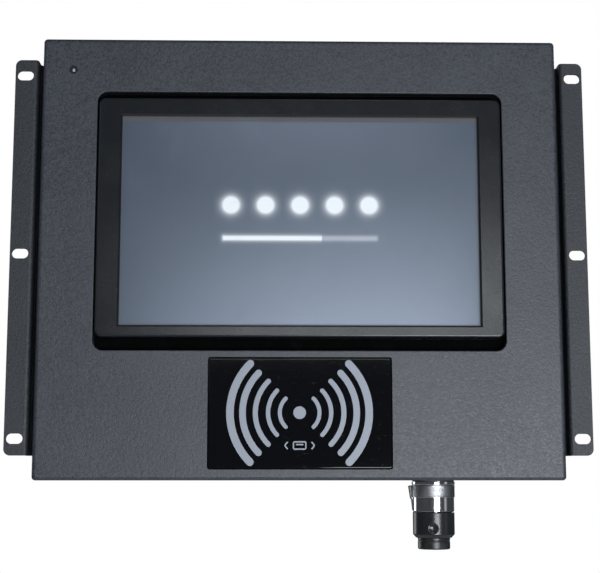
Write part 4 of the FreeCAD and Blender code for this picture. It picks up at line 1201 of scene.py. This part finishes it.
@dataclass
class Connector:
    """The screw-ring connector: socket, ring with its rib, grip and rubber boot."""

    bore: float = 9.6 * MM
    neck: float = 8.6 * MM
    ring: float = 11.3 * MM
    grip: float = 11.75 * MM
    grip_length: float = 6.6 * MM
    back_wall: float = 2.4 * MM
    knurls: int = 84
    knurl_depth: float = 0.16 * MM
    body: float = 11.4 * MM
    taper: float = 1.9 * MM
    throat: float = 6.6 * MM
    boot: float = 8.8 * MM
    entry: float = 3.6 * MM
    dimple: float = 2.8 * MM
    dimple_depth: float = 1.0 * MM
    dimple_aside: float = 1.5 * MM
    dimple_height: float = 0.38
    rib_foot: float = 0.35 * MM
    rib_growth: float = 1.75 * MM
    rib_half: float = 0.65 * MM
    rib_sunk: float = 0.08 * MM
    rib_tip: float = 0.04
    rib_bend: tuple[float, float] = (0.42, 0.50)
    knurl_ends: tuple[float, float] = (0.5 * MM, 0.9 * MM)
    grip_hollow: float = 8.85 * MM
    grip_shoulder: float = 0.9 * MM
    boot_collar: float = 6.2 * MM
    boot_cone: float = 0.9 * MM
    boot_groove: tuple[float, float, float] = (4.6 * MM, 0.28 * MM, 0.22 * MM)
    fit: float = 0.1 * MM
    ring_grid: tuple[float, int] = (0.19 * MM, 420)
    grip_grid: tuple[float, int] = (0.22 * MM, 240)
    boot_grid: tuple[float, int] = (0.20 * MM, 160)

    def build(self) -> None:
        """Makes the ring, rib, grip and boot, and dresses the rest."""
        nickel = Plated(rgb(0.70, 0.71, 0.73), 0.10)
        dress(nickel.make("nickel"), "socket_shell", "plug_barrel")
        dress(Moulded(rgb(0.02, 0.02, 0.022)).make("insulator"), "socket_insert", "plug_insert")
        dress(Rubber().make("seal_rubber"), "socket_seal")
        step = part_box("coupling_ring")[1][2] - self.grip_length
        plate = Plated(rgb(0.60, 0.61, 0.64), 0.13, tint=rgb(0.26, 0.265, 0.28), satin_above=step)
        self.make_ring(plate.make("ring_plate"))
        plastic = Moulded(rgb(0.008, 0.009, 0.011), 0.35 * MM, 0.24, 0.006 * MM, rgb(0.05, 0.052, 0.058))
        black = plastic.make("plug_plastic")
        self.make_rib(black)
        self.make_grip(black)
        rubber = Rubber(rgb(0.010, 0.011, 0.012), rgb(0.035, 0.035, 0.037), 0.4 * MM, 0.01 * MM, 0.34)
        self.make_boot(rubber.make("boot_rubber"))

    def make_ring(self, material: bpy.types.Material) -> None:
        """The ring: an outline turned about Z, with a diamond knurl.

        The knurl lowers r by d (1 - |sin(n a / 2 + k z)| |sin(n a / 2 - k z)|).

        Args:
            material: Its material.
        """
        x, y, _ = middle_of("coupling_ring")
        low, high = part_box("coupling_ring")
        length = high[2] - low[2]
        step = length - self.grip_length
        corners = [(self.bore, length), (self.grip, length), (self.grip, step), (self.ring, step),
                   (self.ring, 0.0), (self.neck, 0.0), (self.neck, self.back_wall),
                   (self.bore, self.back_wall)]
        radii = [0.2 * MM, 0.35 * MM, 0.2 * MM, 0.15 * MM, 0.45 * MM, 0.2 * MM, 0.0, 0.0]
        outline = spaced(rounded_outline(corners, radii), self.ring_grid[0])
        centre = (x, y, low[2])
        radius, angle, height = turned(outline, centre, self.ring_grid[1])
        local = height - low[2]
        near, far = self.knurl_ends
        window = smooth_step(step + near, step + far, local) * smooth_step(length - near, length - far, local)
        outside = radius > self.ring + self.fit
        around, rise = self.knurls * angle / 2, self.knurls / self.grip / 2 * local
        cut = np.abs(np.sin(around + rise)) * np.abs(np.sin(around - rise))
        radius = radius - self.knurl_depth * (1.0 - cut) * window * outside
        piece = mesh_from_grid("coupling_ring_knurled", around_z(radius, angle, height, centre), sharp=50.0)
        place_piece(piece, material, Body.RING)
        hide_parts("coupling_ring")

    def make_rib(self, material: bpy.types.Material) -> None:
        """The rib beside the ring: a squared-off oval section whose reach grows as t^1.25 from bottom to top.

        Its ends close round over a tip, as sqrt(1 - t^2), and its inner side follows the ring's step.

        Args:
            material: Its material.
        """
        low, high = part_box("ring_rib")
        x, y, _ = middle_of("coupling_ring")
        rise = eased(36, 8, self.rib_tip)
        near = np.clip(1.0 - np.minimum(rise, 1.0 - rise) / self.rib_tip, 0.0, 1.0)
        cap = np.sqrt(np.clip(1.0 - near**2, 0.0, 1.0))
        reach = (self.rib_foot + self.rib_growth * rise**1.25) / 2 * cap
        inner = np.interp(rise, self.rib_bend, (self.ring, self.grip))
        side, wide = squared_oval(28, 0.5)
        gx = x - (inner + self.rib_sunk)[:, None] - reach[:, None] * (1.0 + side)
        gy = y + self.rib_half * cap[:, None] * wide
        gz = np.repeat((low[2] + (high[2] - low[2]) * rise)[:, None], 28, 1)
        piece = mesh_from_grid("ring_index_rib", np.stack([gx, gy, gz], axis=-1), close_rows=False)
        place_piece(piece, material, Body.RING)
        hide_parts("ring_rib")

    def make_grip(self, material: bpy.types.Material) -> None:
        """The grip: an outline turned about Z, with a dimple d (1 - (s / R)^2) deep at a distance s.

        Args:
            material: Its material.
        """
        low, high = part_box("plug_body")
        x, y, _ = middle_of("plug_body")
        length, lip = high[2] - low[2], self.neck - self.fit
        corners = [(self.throat, 0.0), (self.boot + self.grip_shoulder, 0.0), (self.body, self.taper),
                   (self.body, length), (lip, length), (lip, length - self.grip_hollow),
                   (self.throat, length - self.grip_hollow)]
        radii = [0.2 * MM, 0.35 * MM, 0.8 * MM, 0.55 * MM, 0.1 * MM, 0.0, 0.0]
        outline = spaced(rounded_outline(corners, radii), self.grip_grid[0])
        centre = (x, y, low[2])
        radius, angle, height = turned(outline, centre, self.grip_grid[1])
        local = height - low[2]
        around = np.angle(np.exp(1j * (angle + math.pi / 2))) * self.body
        distance = np.hypot(around + self.dimple_aside, local - self.dimple_height * length)
        dent = np.clip(1.0 - (distance / self.dimple) ** 2, 0.0, 1.0)
        outside = radius > self.body - 0.3 * MM
        radius = radius - self.dimple_depth * dent * outside
        piece = mesh_from_grid("plug_grip", around_z(radius, angle, height, centre), sharp=55.0)
        place_piece(piece, material, Body.PLUG)
        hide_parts("plug_body")

    def make_boot(self, material: bpy.types.Material) -> None:
        """The boot: an outline turned about Z, with a shallow groove and a coned mouth for the cable.

        The groove lowers r by d e^-(((z - h) / w)^2).

        Args:
            material: Its material.
        """
        low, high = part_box("plug_boot")
        x, y, _ = middle_of("plug_boot")
        length, stem = high[2] - low[2], self.throat - self.fit / 2
        collar, cone = self.boot_collar, self.boot_cone
        corners = [(self.entry + cone, 0.0), (self.boot, 0.0), (self.boot, collar), (stem, collar),
                   (stem, length), (self.entry, length), (self.entry, cone)]
        radii = [0.25 * MM, 0.9 * MM, 0.2 * MM, 0.0, 0.3 * MM, 0.1 * MM, 0.1 * MM]
        outline = spaced(rounded_outline(corners, radii), self.boot_grid[0])
        centre = (x, y, low[2])
        radius, angle, height = turned(outline, centre, self.boot_grid[1])
        middle, width, depth = self.boot_groove
        groove = np.exp(-(((height - low[2] - middle) / width) ** 2))
        radius = radius - depth * groove * (radius > self.boot - self.fit)
        piece = mesh_from_grid("plug_cable_boot", around_z(radius, angle, height, centre), sharp=50.0)
        place_piece(piece, material, Body.PLUG)
        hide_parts("plug_boot")


@dataclass
class Electronics:
    """What shows of the inside through the vents."""

    def build(self) -> None:
        """Dresses the heat sink and the internal leads."""
        sink = Plated(rgb(0.24, 0.25, 0.27), 0.38, 0.4 * MM, 0.006 * MM, (1.0, 1.0, 0.1))
        dress(sink.make("sink_aluminium"), "heat_sink")
        ribbon = Moulded(rgb(0.52, 0.22, 0.03), roughness=0.3, worn=rgb(0.65, 0.34, 0.08))
        dress(ribbon.make("ribbon_film"), "display_ribbon")
        dress(Braid().make("lead_sleeve"), "harness", "reader_lead")


# Stage
@dataclass(frozen=True)
class SoftBox:
    """One rectangular studio light."""

    name: str
    place: Point
    aim: Point
    size: tuple[float, float]
    power: float
    colour: tuple[float, float, float] = (1.0, 1.0, 1.0)

    def build(self) -> None:
        """Adds the light, turned to face its aim."""
        lamp = bpy.data.lights.new(self.name, "AREA")
        lamp.shape = "RECTANGLE"
        lamp.size, lamp.size_y = self.size
        lamp.energy, lamp.color = self.power, self.colour
        holder = bpy.data.objects.new(self.name, lamp)
        bpy.context.collection.objects.link(holder)
        aim = np.array(self.aim) - np.array(self.place)
        flat = math.hypot(aim[0], aim[1])
        holder.location = self.place
        holder.rotation_euler = (math.pi / 2 + math.atan2(aim[2], flat), 0.0, -math.atan2(aim[0], aim[1]))


@dataclass
class Studio:
    """A pale floor, a pale surround, soft boxes and the camera."""

    floor_drop: float = 1.1
    floor_reach: float = 3.0
    eye: Point = (-0.0149, -0.6932, -0.1194)
    heading: float = 1.226
    tilt: float = 8.354
    lens: float = 77.24
    sensor: float = 36.0
    fill: float = 0.07

    def build(self) -> None:
        """Builds everything round the object."""
        self.make_floor()
        self.make_surround()
        self.make_lights()
        self.make_camera()

    def make_floor(self) -> None:
        """A round pale sheet far below the object: r = R v, z falls by 2 mm towards its rim.

        The camera sees it lit by itself, so that it stays pale without lighting the object.
        """
        share = np.linspace(0.0, 1.0, 9)[:, None]
        turn = np.linspace(0.0, math.tau, 64, endpoint=False)[None]
        grid = np.stack([self.floor_reach * share * np.cos(turn), self.floor_reach * share * np.sin(turn),
                         np.broadcast_to(-self.floor_drop - 0.002 * share**2, (9, 64))], axis=-1)
        floor = mesh_from_grid("floor", grid, close_rows=False)
        floor.data.flip_normals()
        r = Recipe("floor_paper")
        cloud = r.noise(0.4, 3.0)
        paper = r.finish({"Base Color": r.blend(cloud, grey(0.80), grey(0.86)), "Roughness": 0.8})
        lit = r.value("ShaderNodeEmission", {}, {"Color": r.blend(cloud, grey(0.80), grey(0.84))})
        seen = r.value("ShaderNodeLightPath", {}, {}, "Is Camera Ray")
        both = r.value("ShaderNodeMixShader", {}, {0: seen, 1: r.surface, 2: lit})
        r.fill(r.output, {"Surface": both})
        floor.data.materials.append(paper)

    def make_surround(self) -> None:
        """A pale surround that looks white and lights softly."""
        world = bpy.data.worlds.new("surround")
        bpy.context.scene.world = world
        tree = Tree(world)
        seen = tree.value("ShaderNodeLightPath", {}, {}, "Is Camera Ray")
        lit = tree.value("ShaderNodeBackground", {}, {"Color": rgb(0.93, 0.96, 1.0), "Strength": self.fill})
        white = tree.value("ShaderNodeBackground", {}, {"Color": grey(1.0), "Strength": 1.0})
        both = tree.value("ShaderNodeMixShader", {}, {0: seen, 1: lit, 2: white})
        tree.node("ShaderNodeOutputWorld", {}, {"Surface": both})
        bpy.context.scene.view_settings.view_transform = "Standard"

    def make_lights(self) -> None:
        """Soft boxes: a key low in front, a glow above it, weak ones above and at both sides, two behind."""
        cool = (0.92, 0.96, 1.0)
        boxes = (
            SoftBox("key", (0.32, -1.05, -0.35), (0.05, 0.0, -0.04), (0.52, 0.42), 11.3, cool),
            SoftBox("glow", (0.11, -1.05, 0.11), (0.05, 0.0, -0.03), (0.50, 0.12), 1.5, cool),
            SoftBox("upper", (0.11, -0.70, 0.75), (0.05, 0.0, 0.0), (0.22, 0.2), 0.6, cool),
            SoftBox("right", (1.1, -0.5, 0.0), (0.1, 0.0, -0.05), (0.3, 0.9), 0.4, cool),
            SoftBox("left", (-1.0, -0.8, 0.35), (-0.05, 0.0, 0.04), (0.6, 0.7), 1.1, cool),
            SoftBox("back", (0.5, 1.2, 0.5), (0.0, 0.0, 0.0), (1.0, 0.8), 15.0, cool),
            SoftBox("back_left", (-0.9, 0.9, 0.1), (0.0, 0.0, 0.0), (0.5, 0.9), 3.5, cool),
        )
        for box in boxes:
            box.build()

    def make_camera(self) -> None:
        """The camera, low in front of the case and looking up a little."""
        low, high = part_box("front_cover")
        face = np.array([(low[0] + high[0]) / 2, low[1], (low[2] + high[2]) / 2])
        data = bpy.data.cameras.new("camera")
        data.lens, data.sensor_width = self.lens, self.sensor
        holder = bpy.data.objects.new("camera", data)
        bpy.context.collection.objects.link(holder)
        holder.location = face + np.array(self.eye)
        holder.rotation_euler = (math.radians(90.0 + self.tilt), 0.0, -math.radians(self.heading))
        bpy.context.scene.camera = holder


def main() -> None:
    """Builds the object and its studio, and logs each part as it is built."""
    logging.basicConfig(level=logging.INFO, format="%(message)s")
    for part in (Case(), Display(), CardReader(), Indicator(), Connector(), Electronics(), Studio()):
        part.build()
        LOG.info("built %s", type(part).__name__)


if __name__ == "__main__":
    main()
